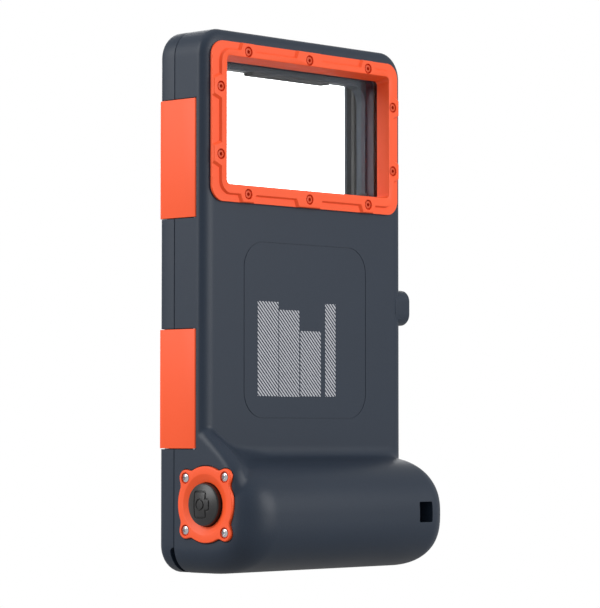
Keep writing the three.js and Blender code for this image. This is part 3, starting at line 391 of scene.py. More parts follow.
printSilver = moulded("printSilver", (0.50, 0.51, 0.55), stipple=(1800, 0.3), rough=(0.5, 0.1),
                      bump=(0.15, 0.02), mottle=0.15)
boardGreen = moulded("boardGreen", (0.012, 0.12, 0.045), stipple=(1200, 0.1), rough=(0.35, 0.1),
                     bump=(0.1, 0.02), mottle=0.2)
clearLook = Sizes(color=(0.955, 0.965, 0.967), ior=1.3, haze=0.015, smearScale=40.0, shadow=0.8)


def makeClear(name, look):
    # Clear sheet that lets the lamps through to what lies behind it
    material, tree, surface = newMaterial(name)
    place = tree.nodes.new("ShaderNodeTexCoord").outputs["Object"]
    smear = addMath(tree, "MULTIPLY", addNoise(tree, place, look.smearScale, 3.0, 0.6), look.haze)
    feed(tree, surface, {
        "Base Color": (*look.color, 1), "Transmission Weight": 1.0, "IOR": look.ior, "Roughness": smear,
    })
    through = addNode(tree, "ShaderNodeBsdfTransparent", {"Color": (look.shadow, look.shadow, look.shadow, 1)})
    shadow = tree.nodes.new("ShaderNodeLightPath").outputs["Is Shadow Ray"]
    mixSurface(tree, tree.nodes["Material Output"], shadow, surface, through)
    return material


clearSheet = makeClear("clearSheet", clearLook)
print("materials made")


# Geometry Nodes: one tree sets copies of a part on the points of a mesh, one lays a round bead along a ring

def newShapeTree(name, inputs):
    inputs = [("Geometry", "Geometry"), *inputs, ("Material", "Material")]
    tree, given, result = newTree("GeometryNodeTree", name, inputs, [("Geometry", "Geometry")])
    tree.is_modifier = True
    return tree, given, result


def endTree(tree, given, result, geometry):
    loose = addNode(tree, "GeometryNodeRealizeInstances", {"Geometry": geometry})
    paint = addNode(tree, "GeometryNodeSetMaterial", {"Geometry": loose.outputs[0], "Material": given["Material"]})
    tree.links.new(paint.outputs[0], result["Geometry"])
    return tree


def buildPlacing():
    tree, given, result = newShapeTree("placeParts", [
        ("Part", "Object"), ("Axis", "Vector"), ("Turn", "Float"), ("Turn Seed", "Int"),
    ])
    part = addNode(tree, "GeometryNodeObjectInfo", {"Object": given["Part"]})
    turn = addNode(tree, "FunctionNodeRandomValue", {3: given["Turn"], "Seed": given["Turn Seed"]}, data_type="FLOAT")
    aim = addNode(tree, "FunctionNodeAlignRotationToVector", {"Vector": given["Axis"]}, axis="Z")
    both = addNode(tree, "FunctionNodeRotateRotation", {
        "Rotation": aim.outputs[0], "Rotate By": addVector(tree, Z=turn.outputs[1]),
    }, rotation_space="LOCAL")
    copies = addNode(tree, "GeometryNodeInstanceOnPoints", {
        "Points": given["Geometry"], "Instance": part.outputs["Geometry"], "Rotation": both.outputs[0],
    })
    return endTree(tree, given, result, copies.outputs[0])


def buildBead():
    tree, given, result = newShapeTree("layBead", [("Radius", "Float"), ("Sides", "Int")])
    path = addNode(tree, "GeometryNodeMeshToCurve", {"Mesh": given["Geometry"]})
    section = addNode(tree, "GeometryNodeCurvePrimitiveCircle", {
        "Radius": given["Radius"], "Resolution": given["Sides"],
    })
    sweep = addNode(tree, "GeometryNodeCurveToMesh", {"Curve": path.outputs[0], "Profile Curve": section.outputs[0]})
    return endTree(tree, given, result, sweep.outputs[0])


placeParts = buildPlacing()
layBead = buildBead()


def runTree(piece, tree, values):
    modifier = piece.modifiers.new(tree.name, "NODES")
    modifier.node_group = tree
    for item in tree.interface.items_tree:
        if item.in_out == "INPUT" and item.name in values:
            modifier[item.identifier] = values[item.name]
    return settle(piece)


def setCopies(name, part, places, axis, material, seed=0, turn=0.0):
    # The pattern part is made about the layout's zero, so it is first brought to the world's
    part.data.transform(Matrix.Translation(-Vector(caseOrigin)))
    values = {"Part": part, "Axis": axis, "Turn": turn, "Turn Seed": seed, "Material": material}
    copies = runTree(makeObject(name, places, []), placeParts, values)
    discard(part)
    return copies


def makeScrew(look):
    # Socket screw along Z with its seat at zero: a flat or domed head, a hexagon socket and a shank with a cone tip
    head, tall, shank, length, edge = look.head, look.tall, look.shank, look.length, look.edge
    profile = [(0, -length), (shank * 0.5, -length), (shank, -length + shank * 0.6), (shank, 0),
               (head - edge * 0.4, 0), (head, edge * 0.4)]
    rim, top = head - edge, tall + look.dome
    for turn in np.linspace(0, 1, 5) * math.pi / 2:
        profile.append((rim + edge * math.cos(turn), tall - edge + edge * math.sin(turn)))
    for share in np.linspace(1, 0, 7)[1:]:
        profile.append((rim * share, tall + look.dome * (1 - share ** 2)))
    screw = turned("screw", profile, (0, 0, 0), (0, 0, 1), look.sides)
    radius = look.socket / math.sqrt(3)
    corners = [(radius * math.cos(a), radius * math.sin(a)) for a in np.arange(6) * math.pi / 3]
    socket = [np.array([(x, y, z) for x, y in corners]) for z in (top - look.socketDepth, top + 1)]
    return shade(combine(screw, [loft("socket", socket)]), 35)


def nodeMiddles(names):
    return [sum(layoutBox(name)) / 2 for name in names]


# Rear shell: the outer skin is where one smooth field of slab, grip and flare is zero

shell = Sizes(
    edgeAcross=5.0, edgeDeep=3.0, gripProud=22.6, gripHeight=39.4, gripInset=4.2, gripEnd=9.0, buttonEnd=13.5,
    upperRoundness=2.3, lowerRoundness=2.65, valley=4.2, flareTop=50.5, flareFoot=17.3, flareShoulder=(13.8, 41.0),
    flareEnd=2.8, flareRound=9.0, flareCrown=3.6, flareFall=6.1, flareSlide=0.15, flareFrom=29.0, flareTo=47.0,
    flareBlend=2.4, fanRays=60, middleRays=76, fanInset=12.0,
)
gripRise, gripFront = shell.gripHeight / 2, case.depth - shell.gripInset
gripReach = shell.gripProud + shell.gripInset


def outlineInset(across, up):
    # Distance inwards from the rounded outline of the case
    sideways = np.abs(across) - (case.half - case.corner)
    upwards = np.abs(up - case.height / 2) - (case.height / 2 - case.corner)
    outside = np.hypot(np.maximum(sideways, 0), np.maximum(upwards, 0))
    return case.corner - outside - np.minimum(np.maximum(sideways, upwards), 0)


def slabField(across, deep, up):
    width, height = shell.edgeAcross, shell.edgeDeep
    side = np.maximum(1 - outlineInset(across, up) / width, 0)
    back = np.maximum((deep - case.depth + height) / height, 0)
    length = np.hypot(side, back)
    scale = (width * side ** 2 + height * back ** 2) / np.maximum(length ** 2, 1e-9)
    return np.where(length > 0, (length - 1) * scale, -height)


def gripField(across, deep, up):
    end, power = shell.gripEnd, np.where(up > gripRise, shell.upperRoundness, shell.lowerRoundness)
    out = np.maximum((deep - gripFront) / gripReach, 1e-6)
    above = np.maximum(np.abs(up - gripRise) / gripRise, 1e-6)
    total = out ** power + above ** power
    level = total ** (1 / power)
    slope = level ** (1 - power) * np.hypot(out ** (power - 1) / gripReach, above ** (power - 1) / gripRise)
    length = end + np.where(across > 0, shell.buttonEnd - end, 0) * (out ** power / total)
    side = np.maximum(1 - (case.half - np.abs(across)) / length, 0)
    skin = np.maximum(1 + (level - 1) / np.maximum(slope, 1e-4) / end, 0)
    return (np.hypot(side, skin) - 1) * end


def gripTop(deep):
    share, power = (deep - gripFront) / gripReach, shell.upperRoundness
    return gripRise * (1 + (1 - share ** power) ** (1 / power))


def flareField(across, deep, up):
    # Ridge from the grip's end up into the back edge, with a hollow fall towards the middle
    footDeep = case.depth + shell.flareFoot
    foot = np.array([footDeep, gripTop(footDeep)])
    chord = np.array([case.depth - shell.edgeDeep, shell.flareTop]) - foot
    span = np.hypot(*chord)
    along = chord / span
    normal = np.array([along[1], -along[0]])
    shoulder = np.array([case.depth + shell.flareShoulder[0], shell.flareShoulder[1]]) - foot
    bendAlong, bendOut = shoulder @ along, shoulder @ normal
    place = np.clip((deep - foot[0]) * along[0] + (up - foot[1]) * along[1], 0, span)
    square = span - 2 * bendAlong
    share = (-bendAlong + np.sqrt(bendAlong ** 2 + square * place)) / square
    ridge = 2 * share * (1 - share) * bendOut
    out = (deep - foot[0]) * normal[0] + (up - foot[1]) * normal[1]
    start, end = shell.flareFrom, shell.flareTo
    sweep = np.clip((across - start) / (end - start), 0, 1)
    fall = shell.flareFall * (sweep ** 2 - 1) - shell.flareSlide * np.maximum(start - across, 0)
    skin = np.maximum(1 + (out - ridge - fall) / shell.flareCrown, 0)
    lower = np.clip((deep - case.depth) / shell.flareShoulder[0], 0, 1)
    length = shell.flareEnd + (shell.gripEnd - shell.flareEnd) * lower
    side = np.maximum(1 - (case.half - np.abs(across)) / length, 0)
    behind = np.maximum(1 + (deep - foot[0]) / shell.valley, 0)
    below = np.maximum(1 + (gripRise - up) / shell.flareRound, 0)
    return (np.sqrt(skin ** 2 + side ** 2 + behind ** 2 + below ** 2) - 1) * shell.flareRound


def smoothJoin(first, second, reach):
    reach = np.maximum(reach, 1e-4)
    share = np.clip(0.5 + 0.5 * (second - first) / reach, 0, 1)
    return second + (first - second) * share - reach * share * (1 - share)


def shellField(across, deep, up):
    inside = np.clip((case.half - np.abs(across)) / shell.flareEnd, 0, 1)
    above = np.clip(up / shell.gripHeight * 4 - 3, 0, 1)
    body = smoothJoin(slabField(across, deep, up), gripField(across, deep, up), shell.valley * inside * above)
    return smoothJoin(body, flareField(across, deep, up), shell.flareBlend * inside * above)


def shellLevels():
    # Heights of the skin's rows: closest where it turns under, over and in the valley
    quarter = lambda steps: 1 - np.cos(np.linspace(0, 1, steps) * math.pi / 2)
    valleyEnd, wallEnd = 54, case.height - case.corner
    parts = [gripRise * quarter(40), np.linspace(gripRise, valleyEnd, 50), np.linspace(valleyEnd, wallEnd, 48),
             case.height - case.corner * quarter(26)[::-1]]
    return np.unique(np.round(np.concatenate(parts), 4))


def makeShellSkin():
    # Each row is a fan of rays at either side and parallel ones between, followed out to the field's zero
    front, corner, tall, hair = case.seam + case.fitGap, case.corner, case.height, 0.004
    fan, middle = shell.fanRays, shell.middleRays
    turn = np.linspace(0, math.pi / 2, fan, endpoint=False)
    wayX = np.concatenate([-np.cos(turn), np.zeros(middle), np.cos(turn)[::-1]])
    wayY = np.concatenate([np.sin(turn), np.ones(middle), np.sin(turn)[::-1]])
    count, rows = len(wayX), []
    for up in shellLevels():
        short = max(corner - up, up - (tall - corner), 0)
        centre = case.half - corner + math.sqrt(max(corner ** 2 - short ** 2, 0)) - shell.fanInset
        fromX = np.concatenate([np.full(fan, -centre), np.linspace(-1, 1, middle) * centre, np.full(fan, centre)])
        level = np.full(count, min(max(up, hair), tall - hair))
        near, far = np.zeros(count), np.full(count, 60.0)
        for _ in range(40):
            reach = (near + far) / 2
            inside = shellField(fromX + wayX * reach, front + wayY * reach, level) < 0
            near, far = np.where(inside, reach, near), np.where(inside, far, reach)
        rows.append(np.column_stack([fromX + wayX * near, front + wayY * near, np.full(count, up)]))
    total = len(rows) * count
    faces = [(low, low + 1, low + count + 1, low + count)
             for start in range(0, total - count, count) for low in range(start, start + count - 1)]
    faces += [tuple(range(count)), tuple(range(total - count, total))[::-1],
              tuple(range(0, total, count)) + tuple(range(count - 1, total, count))[::-1]]
    return faceOutwards(makeObject("rearShell", np.concatenate(rows), faces))


boss = Sizes(bottom=87.1, top=100.0, width=13.2, radius=4.2, proud=4.0, edge=0.5, rim=0.75, plate=1.0,
             plateGap=0.12, plateSoft=0.2, plateBack=0.1, plateFront=0.02, insertGap=0.1)
bossFace = -case.half - boss.proud


def bossOutline(inset):
    return grownRing((case.depth - boss.width, boss.bottom, case.depth, boss.top), boss.radius, -inset, 10)


def makeBoss():
    rings = [alongX(bossOutline(0), -case.half + boss.proud)]
    rings += [alongX(bossOutline(inset), bossFace + drop) for inset, drop in quarterRound(boss.edge, 6)]
    return loft("boss", rings)


# Latches: a plate hooked over the front edge of the case, with a barrel at its back that turns on a pin
latchSize = Sizes(
    length=40.6, thickness=2.6, wrap=5.4, proud=0.1, hookProud=0.3, hookTip=1.3, hookSlope=0.7, edge=2.6,
    corner=3.0, rearRound=0.7, barrel=2.3, pin=0.8, pinEngage=3.2, rearGap=0.8, notchLength=15.0, notchDepth=1.3,
    notchSlant=1.6, fingerDepth=3.0, softEdge=0.22, softSteps=3, softAngle=28, pinEdge=0.2,
)
latchNames = ["left_upper", "left_lower", "right_upper", "right_lower", "top", "bottom"]
latchReach = case.depth - shell.edgeDeep - latchSize.rearGap
pinDepth = latchReach - latchSize.barrel
pinIn = latchSize.barrel - latchSize.proud


def latchPlace(name):
    # Where a latch lies on the front edge, and which way it faces
    up = nodeMiddles(["latch_" + name])[0][2]
    outward, spot = {
        "left": ((-1, 0, 0), (-case.half, 0, up)), "right": ((1, 0, 0), (case.half, 0, up)),
        "top": ((0, 0, 1), (0, 0, case.height)), "bottom": ((0, 0, -1), (0, 0, 0)),
    }[name.split("_")[0]]
    along, proud = np.cross(outward, (0.0, 1.0, 0.0)), 0.0 if name == "bottom" else latchSize.proud
    return Sizes(name=name, outward=np.array(outward), along=along, spot=np.array(spot), proud=proud)


latchPlaces = [latchPlace(name) for name in latchNames]


def onLatch(place, out, back, along):
    # Points in a latch's own directions, brought to the case
    out, back, along = (np.asarray(part, float)[..., None] for part in (out, back, along))
    return place.spot + out * place.outward + back * (0, 1, 0) + along * place.along


def sectionPrism(place, section, length, name="tool"):
    # A section of (outward, back) points along the pin
    out, back = np.transpose(section)
    return loft(name, [onLatch(place, out, back, mark) for mark in (-length / 2, length / 2)])


def planPrism(place, plan, start, end):
    # A plan of (along, outward) points, from one depth to another
    along, out = np.transpose(plan)
    return loft("tool", [onLatch(place, out, depth, along) for depth in (start, end)])


def latchSection(proud):
    # Hook, outer face, rear corner and barrel as (outward, back) points
    size = latchSize
    inner, edge, rear = size.proud - size.thickness, size.edge, size.rearRound
    root = size.hookTip - size.hookProud + size.hookSlope * (size.wrap + inner)
    points = [(-size.wrap, -size.hookProud)]
    points += arc((proud - edge, edge - size.hookProud), edge, -1, 0, 10)
    points += arc((proud - rear, latchReach - rear), rear, 0, 1, 5)
    points += arc((-pinIn, pinDepth), size.barrel, 1, 3, 20)
    points += [(inner, pinDepth - size.barrel), (inner, root), (-size.wrap, size.hookTip - size.hookProud)]
    return points


def hookPlan(grow):
    size = latchSize
    half, tip, radius = size.length / 2 + grow, -size.wrap - grow, size.corner + grow
    points = [(half, reachOver), (-half, reachOver)] + arc((-half + radius, tip + radius), radius, 2, 3, 8)
    if grow == 0:
        notch, deep, slant = size.notchLength / 2, size.notchDepth, size.notchSlant
        points += [(-notch, tip), (-notch + slant, tip + deep), (notch - slant, tip + deep), (notch, tip)]
    return points + arc((half - radius, tip + radius), radius, 3, 4, 8)


def pinRod(place, radius, reach):
    return rod(radius, -reach, reach, onLatch(place, -pinIn, pinDepth, 0), place.along, 24)


def makeLatch(place):
    size, wide, tall = latchSize, 2 * latchSize.length, 2 * case.depth
    hookEnd = pinDepth - size.barrel - reachOver
    latch = sectionPrism(place, latchSection(place.proud), size.length, camelName("latch_" + place.name))
    plan = planPrism(place, hookPlan(0), -reachOver, hookEnd)
    block = [(-wide, -tall), (wide, -tall), (wide, tall), (-wide, tall)]
    combine(plan, [planPrism(place, block, hookEnd - case.fitGap, latchReach + reachOver)], "UNION")
    combine(latch, [plan], "INTERSECT")
    combine(latch, [pinRod(place, size.pin + case.fitGap, size.length)])
    bevel = latch.modifiers.new("edges", "BEVEL")
    bevel.width, bevel.segments = size.softEdge * mm, size.softSteps
    bevel.limit_method, bevel.angle_limit = "ANGLE", math.radians(size.softAngle)
    return settle(latch)


def plateRoom(place):
    # Room for the plate and its hook, with a gap all round
    size, gap = latchSize, case.fitGap
    inner, tip = size.proud - size.thickness - gap, -size.wrap - gap
    tipDepth = size.hookTip - size.hookProud + gap * math.hypot(1, size.hookSlope) - size.hookSlope * gap
    rootDepth = tipDepth + size.hookSlope * (inner - tip)
    plate = [(tip, -reachOver), (reachOver, -reachOver), (reachOver, pinDepth), (inner, pinDepth),
             (inner, rootDepth), (tip, tipDepth)]
    room = sectionPrism(place, plate, size.length + 2 * gap)
    return combine(room, [planPrism(place, hookPlan(gap), -reachOver, pinDepth + reachOver)], "INTERSECT")


def barrelRooms(place):
    # Room for the barrel and the latch's rear corner to turn in, and the hole of its pin
    size, gap = latchSize, case.fitGap
    length = size.length + 2 * gap
    sweep = math.hypot(size.barrel, size.barrel) - size.rearRound * (math.sqrt(2) - 1) + gap
    room = arc((-pinIn, pinDepth), sweep, 1, 3, 12)
    room += [(reachOver, pinDepth - sweep), (reachOver, latchReach + gap), (-pinIn, latchReach + gap)]
    return [sectionPrism(place, room, length), pinRod(place, size.pin + gap, length / 2 + size.pinEngage + gap)]


def fingerHollow(place):
    size = latchSize
    half, wrap, deep = size.notchLength / 2 - 2 * size.notchSlant, -size.wrap, 2 * size.notchDepth
    plan = [(-half, wrap), (half, wrap), (half, wrap + deep), (-half, wrap + deep)]
    return planPrism(place, plan, -reachOver, size.fingerDepth)


# Camera window: frame, pane and the sizes that shell and frame share, with boxes as (left, bottom, right, top)
cameraSize = Sizes(
    middle=154.5, halfWidth=47.6, halfHeight=27.55, shift=0.4, proud=1.9, corner=5.4, edge=0.5, sideBand=6.2,
    endBand=5.7, mouthSide=0.25, mouthTop=0.75, mouthBottom=-0.3, mouthLip=0.25, throatTop=0.55, throatSide=0.2,
    openingCorner=1.6, collar=1.2, paneInset=5.7, pane=2.0, channel=0.9, strip=2.8, channelSlope=1.1,
    widePad=14.0, smallPad=8.5, padInset=2.95, padAcross=16.8, sidePadInset=3.4, sidePadUp=11.6, padSlant=0.42,
    padReach=6.0, padSlope=0.9, padSpare=0.3, ledgeInset=7.7, ledge=1.3,
    screwRoom=1.85, screwHeadHeight=1.5, screwShank=0.7, screwLength=4.2, screwSink=0.1,
)
baySize = Sizes(half=40.6, bottom=12.8, top=174.2, radius=6.0, wall=3.2,
                gasketInset=6.9, gasketInsetEnds=7.6, gasketWidth=2.0, gasketHeight=2.2)
panelSize = Sizes(box=(-31.15, 53.0, 31.15, 113.9), shift=0.35, corner=9.0, groove=0.3, grooveDepth=0.16)
lanyardSize = Sizes(bottom=16.2, top=23.5, fromEnd=9.8, fromBack=9.7, width=6.9, corner=0.5, fit=0.01)
buttonSize = Sizes(
    deep=23.7, up=23.7, bezel=12.95, proud=0.8, screwOffset=9.35, nearScrewOffset=8.85, lobe=2.85, fillet=1.8,
    bezelEdge=0.35, recess=0.7, recessGap=0.4, cone=10.2, coneDepth=1.0, coneSoft=0.25, cap=7.25, capGap=0.25,
    collar=9.0, collarDepth=4.6, rise=1.95, dome=0.85, capEdge=0.75, capDepth=2.2, capFoot=0.8, capFootDepth=0.3,
    bore=4.2, seal=0.8, screwSink=0.5, screwRoom=1.95, screwHole=1.1, screwSeat=-0.6, screwDeep=-9, screwOut=0.9,
)
iconSize = Sizes(shift=-0.8, halfAcross=2.65, halfUp=4.4, corner=0.6, humpReach=1.6, humpHalf=1.95, humpCorner=0.9,
                 lensShift=0.15, lens=1.75, line=0.13, soft=0.14, depth=0.36)
gripRoom = Sizes(room=(-29.0, 12.0, 41.6, 32.5), neck=(-26.0, 15.6, 35.0, 35.4), back=37.0, corner=3.0, floor=3.0)
insertSize = Sizes(outer=3.8, bore=2.9, crest=2.55, length=9.0, pitch=1.27, edge=0.3, floor=1.0, mouth=0.35,
                   threadStart=0.4, threadRun=0.8, row=0.09, tip=0.3)
openHalfWidth = cameraSize.halfWidth - cameraSize.sideBand
openHalfHeight = cameraSize.halfHeight - cameraSize.endBand
frameFace = case.depth + cameraSize.proud
ledgeFront = case.depth - cameraSize.ledgeInset
bayFloor = case.depth - baySize.wall


def openingRing(grow, radius, cornerSteps=8):
    return centredRing(openHalfWidth + grow, openHalfHeight + grow, cameraSize.middle, radius, cornerSteps)


def caseBox(inset, ends):
    return -case.half + inset, ends, case.half - inset, case.height - ends


def gasketRing(inward, grow=0.0, cornerSteps=8):
    # Outline at a distance inwards from the outer side of the gasket
    box = caseBox(baySize.gasketInset + inward, baySize.gasketInsetEnds + inward)
    return grownRing(box, baySize.radius - inward, grow, cornerSteps)


def shellCutters():
    # Bay, camera opening, gasket groove, back panel, lanyard hole, button seat, boss, grip room and latch rooms
    gap, front, depth = case.fitGap, case.seam + case.fitGap, case.depth
    size, camera, lanyard, button, grip = baySize, cameraSize, lanyardSize, buttonSize, gripRoom
    bayTo = lambda top: grownRing((-size.half, size.bottom, size.half, top), size.radius)
    pocket = centredRing(openHalfWidth + camera.collar + gap, openHalfHeight + camera.collar + gap, camera.middle,
                         camera.openingCorner + camera.collar)
    panel = [grownRing(panelSize.box, panelSize.corner, side * panelSize.groove / 2, 12) + (panelSize.shift, 0)
             for side in (1, -1)]
    tools = [
        prismY(bayTo(size.top), 0, ledgeFront), prismY(bayTo(camera.middle - camera.halfHeight), 0, bayFloor),
        prismY(pocket, ledgeFront + camera.ledge, depth + reachOver),
        prismY(openingRing(0, camera.openingCorner), ledgeFront - reachOver, ledgeFront + camera.ledge + reachOver),
        ringPrism(gasketRing(0, gap), gasketRing(size.gasketWidth, -gap), front - reachOver, front + size.gasketHeight),
        ringPrism(*panel, depth - panelSize.grooveDepth, depth + reachOver),
    ]
    back = depth + shell.gripProud - lanyard.fromBack
    near, left = back - lanyard.width, -case.half + lanyard.fromEnd
    holeBox = lambda start, end: roundedRing(start, lanyard.bottom, end, lanyard.top, lanyard.corner, 3)
    tools.append(prismX(holeBox(near, back), -case.half - reachOver, left + lanyard.width - lanyard.fit))
    tools.append(prismY(holeBox(left, left + lanyard.width), near + lanyard.fit, depth + shell.gripProud + reachOver))
    centre, seat = (case.half, button.deep, button.up), button.collarDepth + gap + button.seal + case.seatGap
    recess = bezelOutline(button.recessGap)
    tools += [
        rod(button.collar + gap, -seat, reachOver, centre, (1, 0, 0), 64),
        loft("recess", [roundButton(recess, -button.recess), roundButton(recess, reachOver)]),
        rod(button.bore, -2 * button.collar, 0, centre, (1, 0, 0), 48),
        prismX(bossOutline(boss.rim), bossFace - reachOver, bossFace + boss.plate),
        rod(insertSize.outer + gap, -insertSize.length - gap, reachOver,
            (bossFace, depth - boss.width / 2, (boss.bottom + boss.top) / 2), (-1, 0, 0), 48),
        prismY(grownRing(grip.room, grip.corner), bayFloor + grip.floor, grip.back),
        prismY(grownRing(grip.neck, grip.corner), bayFloor - reachOver, bayFloor + grip.floor + reachOver),
    ]
    for place in latchPlaces:
        tools += [plateRoom(place), *barrelRooms(place)]
    return tools


# Front cover: rings from the seam round the front edge, down into the window and back along the inside
coverSize = Sizes(
    edge=3.0, windowHalf=39.0, windowBottom=14.5, windowTop=176.5, windowCorner=1.5, surround=3.2,
    surroundCorner=5.0, recess=4.2, lip=0.8, margin=2.6, softEdge=0.35, pryGap=2.0, pryInset=3.4, pryMargin=4.0,
    pryEnd=0.12, pane=1.8,
)


def windowRing(grow, radius):
    size = coverSize
    left, bottom, top = -size.windowHalf - grow, size.windowBottom - grow, size.windowTop + grow
    return roundedRing(left, bottom, -left, top, radius, 10)


def caseRing(inset):
    return roundedRing(*caseBox(inset, inset), case.corner - inset, 10)


def makeCover():
    size, soft, wide = coverSize, coverSize.softEdge, coverSize.surround
    steps = [(caseRing(drop), case.seam - inset) for inset, drop in quarterRound(soft, 4)]
    steps += [(caseRing(inset), drop) for inset, drop in quarterRound(size.edge, 9)]
    for turn in np.linspace(0, 1, 4) * math.pi / 4:
        grow = wide + soft * (1 - math.sin(turn) / math.sin(math.pi / 4))
        steps.append((windowRing(grow, size.surroundCorner + grow - wide), soft * (1 - math.cos(turn))))
    opening = windowRing(0, size.windowCorner)
    room = windowRing(size.margin + case.fitGap, size.windowCorner + case.fitGap)
    steps += [(opening, size.recess - size.lip), (opening, size.recess), (room, size.recess), (room, case.seam)]
    return loftY("frontCover", steps, True)


def pryRelief(side):
    # The gap's floor is a half round, so each layer of it is a little shorter than the one above
    size, corner, margin = coverSize, case.corner, coverSize.pryMargin / 90
    centre, quarter = (side * (case.half - corner), corner), 3 if side > 0 else 2
    start, end = quarter + margin, quarter + 1 - margin
    outline = lambda trim: (arc(centre, corner + reachOver, start + trim, end - trim, 16)
                            + arc(centre, corner - size.pryInset, end - trim, start + trim, 16))
    steps = [(outline(0), case.seam + reachOver)]
    for turn in np.linspace(0, 1, 8) * math.pi / 2:
        steps.append((outline(size.pryEnd * (1 - math.cos(turn))), case.seam - size.pryGap * math.sin(turn)))
    return loftY("pryRelief", steps)


frontCover = makeCover()
coverTools = [pryRelief(-1), pryRelief(1)]
for place in latchPlaces:
    coverTools += [plateRoom(place), fingerHollow(place)]
combine(frontCover, coverTools)
finishPiece(frontCover, shellPlastic, "cover", ["front_cover"], 30)
print("front cover made", len(frontCover.data.polygons), "faces")

for place in latchPlaces:
    name = "latch_" + place.name
    finishPiece(makeLatch(place), orangePlastic, name + "_body", [name])
print("latches made")


# Camera frame: a solid frame with slanted channels sunk between the pads of its screws

def framePads():
    # Middle, width and edge of the frame's pads, each of which carries a screw
    size = cameraSize
    across = size.halfWidth - size.padAcross
    pads = [(x + size.shift, sign * (size.halfHeight - size.padInset), size.smallPad if x else size.widePad, "end")
            for x in (-across, 0, across) for sign in (1, -1)]
    return pads + [(sign * (size.halfWidth - size.sidePadInset) + size.shift, up, size.smallPad, "side")
                   for sign in (-1, 1) for up in (size.sidePadUp, -size.sidePadUp)]


def padCutter(pad):
    # Keeps a pad out of the channel: wider at its inner end, and grown towards the channel floor
    size, spare = cameraSize, cameraSize.padSpare
    across, up, width, edge = pad
    sign, nearOut, farOut = np.sign(up if edge == "end" else across), -size.strip, size.padReach
    inner, outer = width / 2 - size.padSlant * nearOut, width / 2 - size.padSlant * farOut
    grow = size.padSlope * (0.5 + spare / size.channel)
    steps = []
    for level, extra in ((frameFace - size.channel - spare, grow), (frameFace + spare, -grow)):
        wide, narrow = inner + extra, outer + extra
        corners = [(-wide, nearOut), (wide, nearOut), (narrow, farOut), (-narrow, farOut)]
        if edge == "end":
            ring = [(across + along, size.middle + up + sign * out) for along, out in corners]
        else:
            ring = [(across + sign * out, size.middle + up - along) for along, out in corners]
        steps.append((ring, level))
    return loftY("pad", steps)


def makeCameraFrame():
    size, gap, lip = cameraSize, case.seatGap, cameraSize.mouthLip
    seat, paneBack = case.depth + gap, case.depth - size.paneInset + size.pane + gap
    low, high = size.middle - openHalfHeight, size.middle + openHalfHeight
    wide = openHalfWidth + size.mouthSide
    mouthBox = (-wide, low - size.mouthBottom, wide, high + size.mouthTop)
    throat = roundedRing(-openHalfWidth + size.throatSide, low, openHalfWidth - size.throatSide, high - size.throatTop,
                         size.openingCorner, 10)
    outer = lambda inset: centredRing(size.halfWidth - inset, size.halfHeight - inset, size.middle,
                                      size.corner - inset, 10) + (size.shift, 0)
    collar = openingRing(size.collar, size.openingCorner + size.collar, 10)
    steps = [(outer(0), seat)]
    steps += [(outer(inset), frameFace - drop) for inset, drop in quarterRound(size.edge, 7)]
    steps += [(grownRing(mouthBox, size.openingCorner, grow, 10), frameFace - drop)
              for grow, drop in ((lip, 0), (lip * 0.3, lip * 0.3), (0, lip))]
    return loftY("cameraFrame", steps + [(throat, paneBack), (collar, paneBack), (collar, seat)], True)


def channelTool():
    # The band outside the raised strip, sunk a little and sloping at its inner side, without the pads
    size, slope = cameraSize, cameraSize.channelSlope / 2
    floor, top = frameFace - size.channel, frameFace + 1
    inner = lambda grow: openingRing(size.strip + grow, size.openingCorner + size.strip + grow, 10)
    far = centredRing(size.halfWidth + reachOver, size.halfHeight + reachOver, size.middle, size.corner + reachOver, 10)
    upper = inner(-slope * (top - floor) / size.channel + slope)
    tool = loftY("channel", [(inner(slope), floor), (upper, top), (far, top), (far, floor)], True)
    return combine(tool, [padCutter(pad) for pad in framePads()])


def screwRoom(spot, axis, steps, sides=32):
    # Stepped hole from (radius, place) pairs, closed at both ends
    return turned("room", [(0, steps[0][1]), *steps, (0, steps[-1][1])], spot, axis, sides)


def frameScrewRooms():
    size = cameraSize
    narrow, deep = size.screwShank + case.fitGap, -size.screwHeadHeight
    steps = [(narrow, -size.screwLength), (narrow, deep), (size.screwRoom, deep), (size.screwRoom, reachOver)]
    return [screwRoom((across, frameFace, size.middle + up), (0, 1, 0), steps) for across, up, *_ in framePads()]


cameraFrame = combine(makeCameraFrame(), [channelTool()] + frameScrewRooms())
faceOutwards(cameraFrame, 0.01)
finishPiece(cameraFrame, orangePlastic, "shell", ["camera_frame"])
print("camera frame made", len(cameraFrame.data.polygons), "faces")


# Shutter bezel, its cone and the rubber button

def lobeSpots():
    # Screw lobes round the button as (deep, up); the pair nearer the cover lies a little closer together
    size = buttonSize
    return [(deep * size.screwOffset, up * (size.screwOffset if deep > 0 else size.nearScrewOffset))
            for deep in (1, -1) for up in (1, -1)]


def circle(radius, sides=240):
    angles = np.linspace(0, 2 * math.pi, sides, endpoint=False)
    return np.column_stack([radius * np.cos(angles), radius * np.sin(angles)])


def bezelOutline(grow):
    # Disc and four lobes, joined by hollow fillets, as (deep, up) round the button's middle
    size, way = buttonSize, circle(1)
    near, far = np.zeros(len(way)), np.full(len(way), 30.0)
    for _ in range(34):
        reach = (near + far) / 2
        deep, up = reach * way[:, 0], reach * way[:, 1]
        value = reach - size.bezel
        for spotDeep, spotUp in lobeSpots():
            value = smoothJoin(value, np.hypot(deep - spotDeep, up - spotUp) - size.lobe, size.fillet)
        near, far = np.where(value < grow, reach, near), np.where(value < grow, far, reach)
    return circle(near)


def roundButton(flat, out):
    # (deep, up) points round the button's middle, placed at a height over the side of the case
    out = np.broadcast_to(out, len(flat))
    return np.column_stack([case.half + out, buttonSize.deep + flat[:, 0], buttonSize.up + flat[:, 1]])


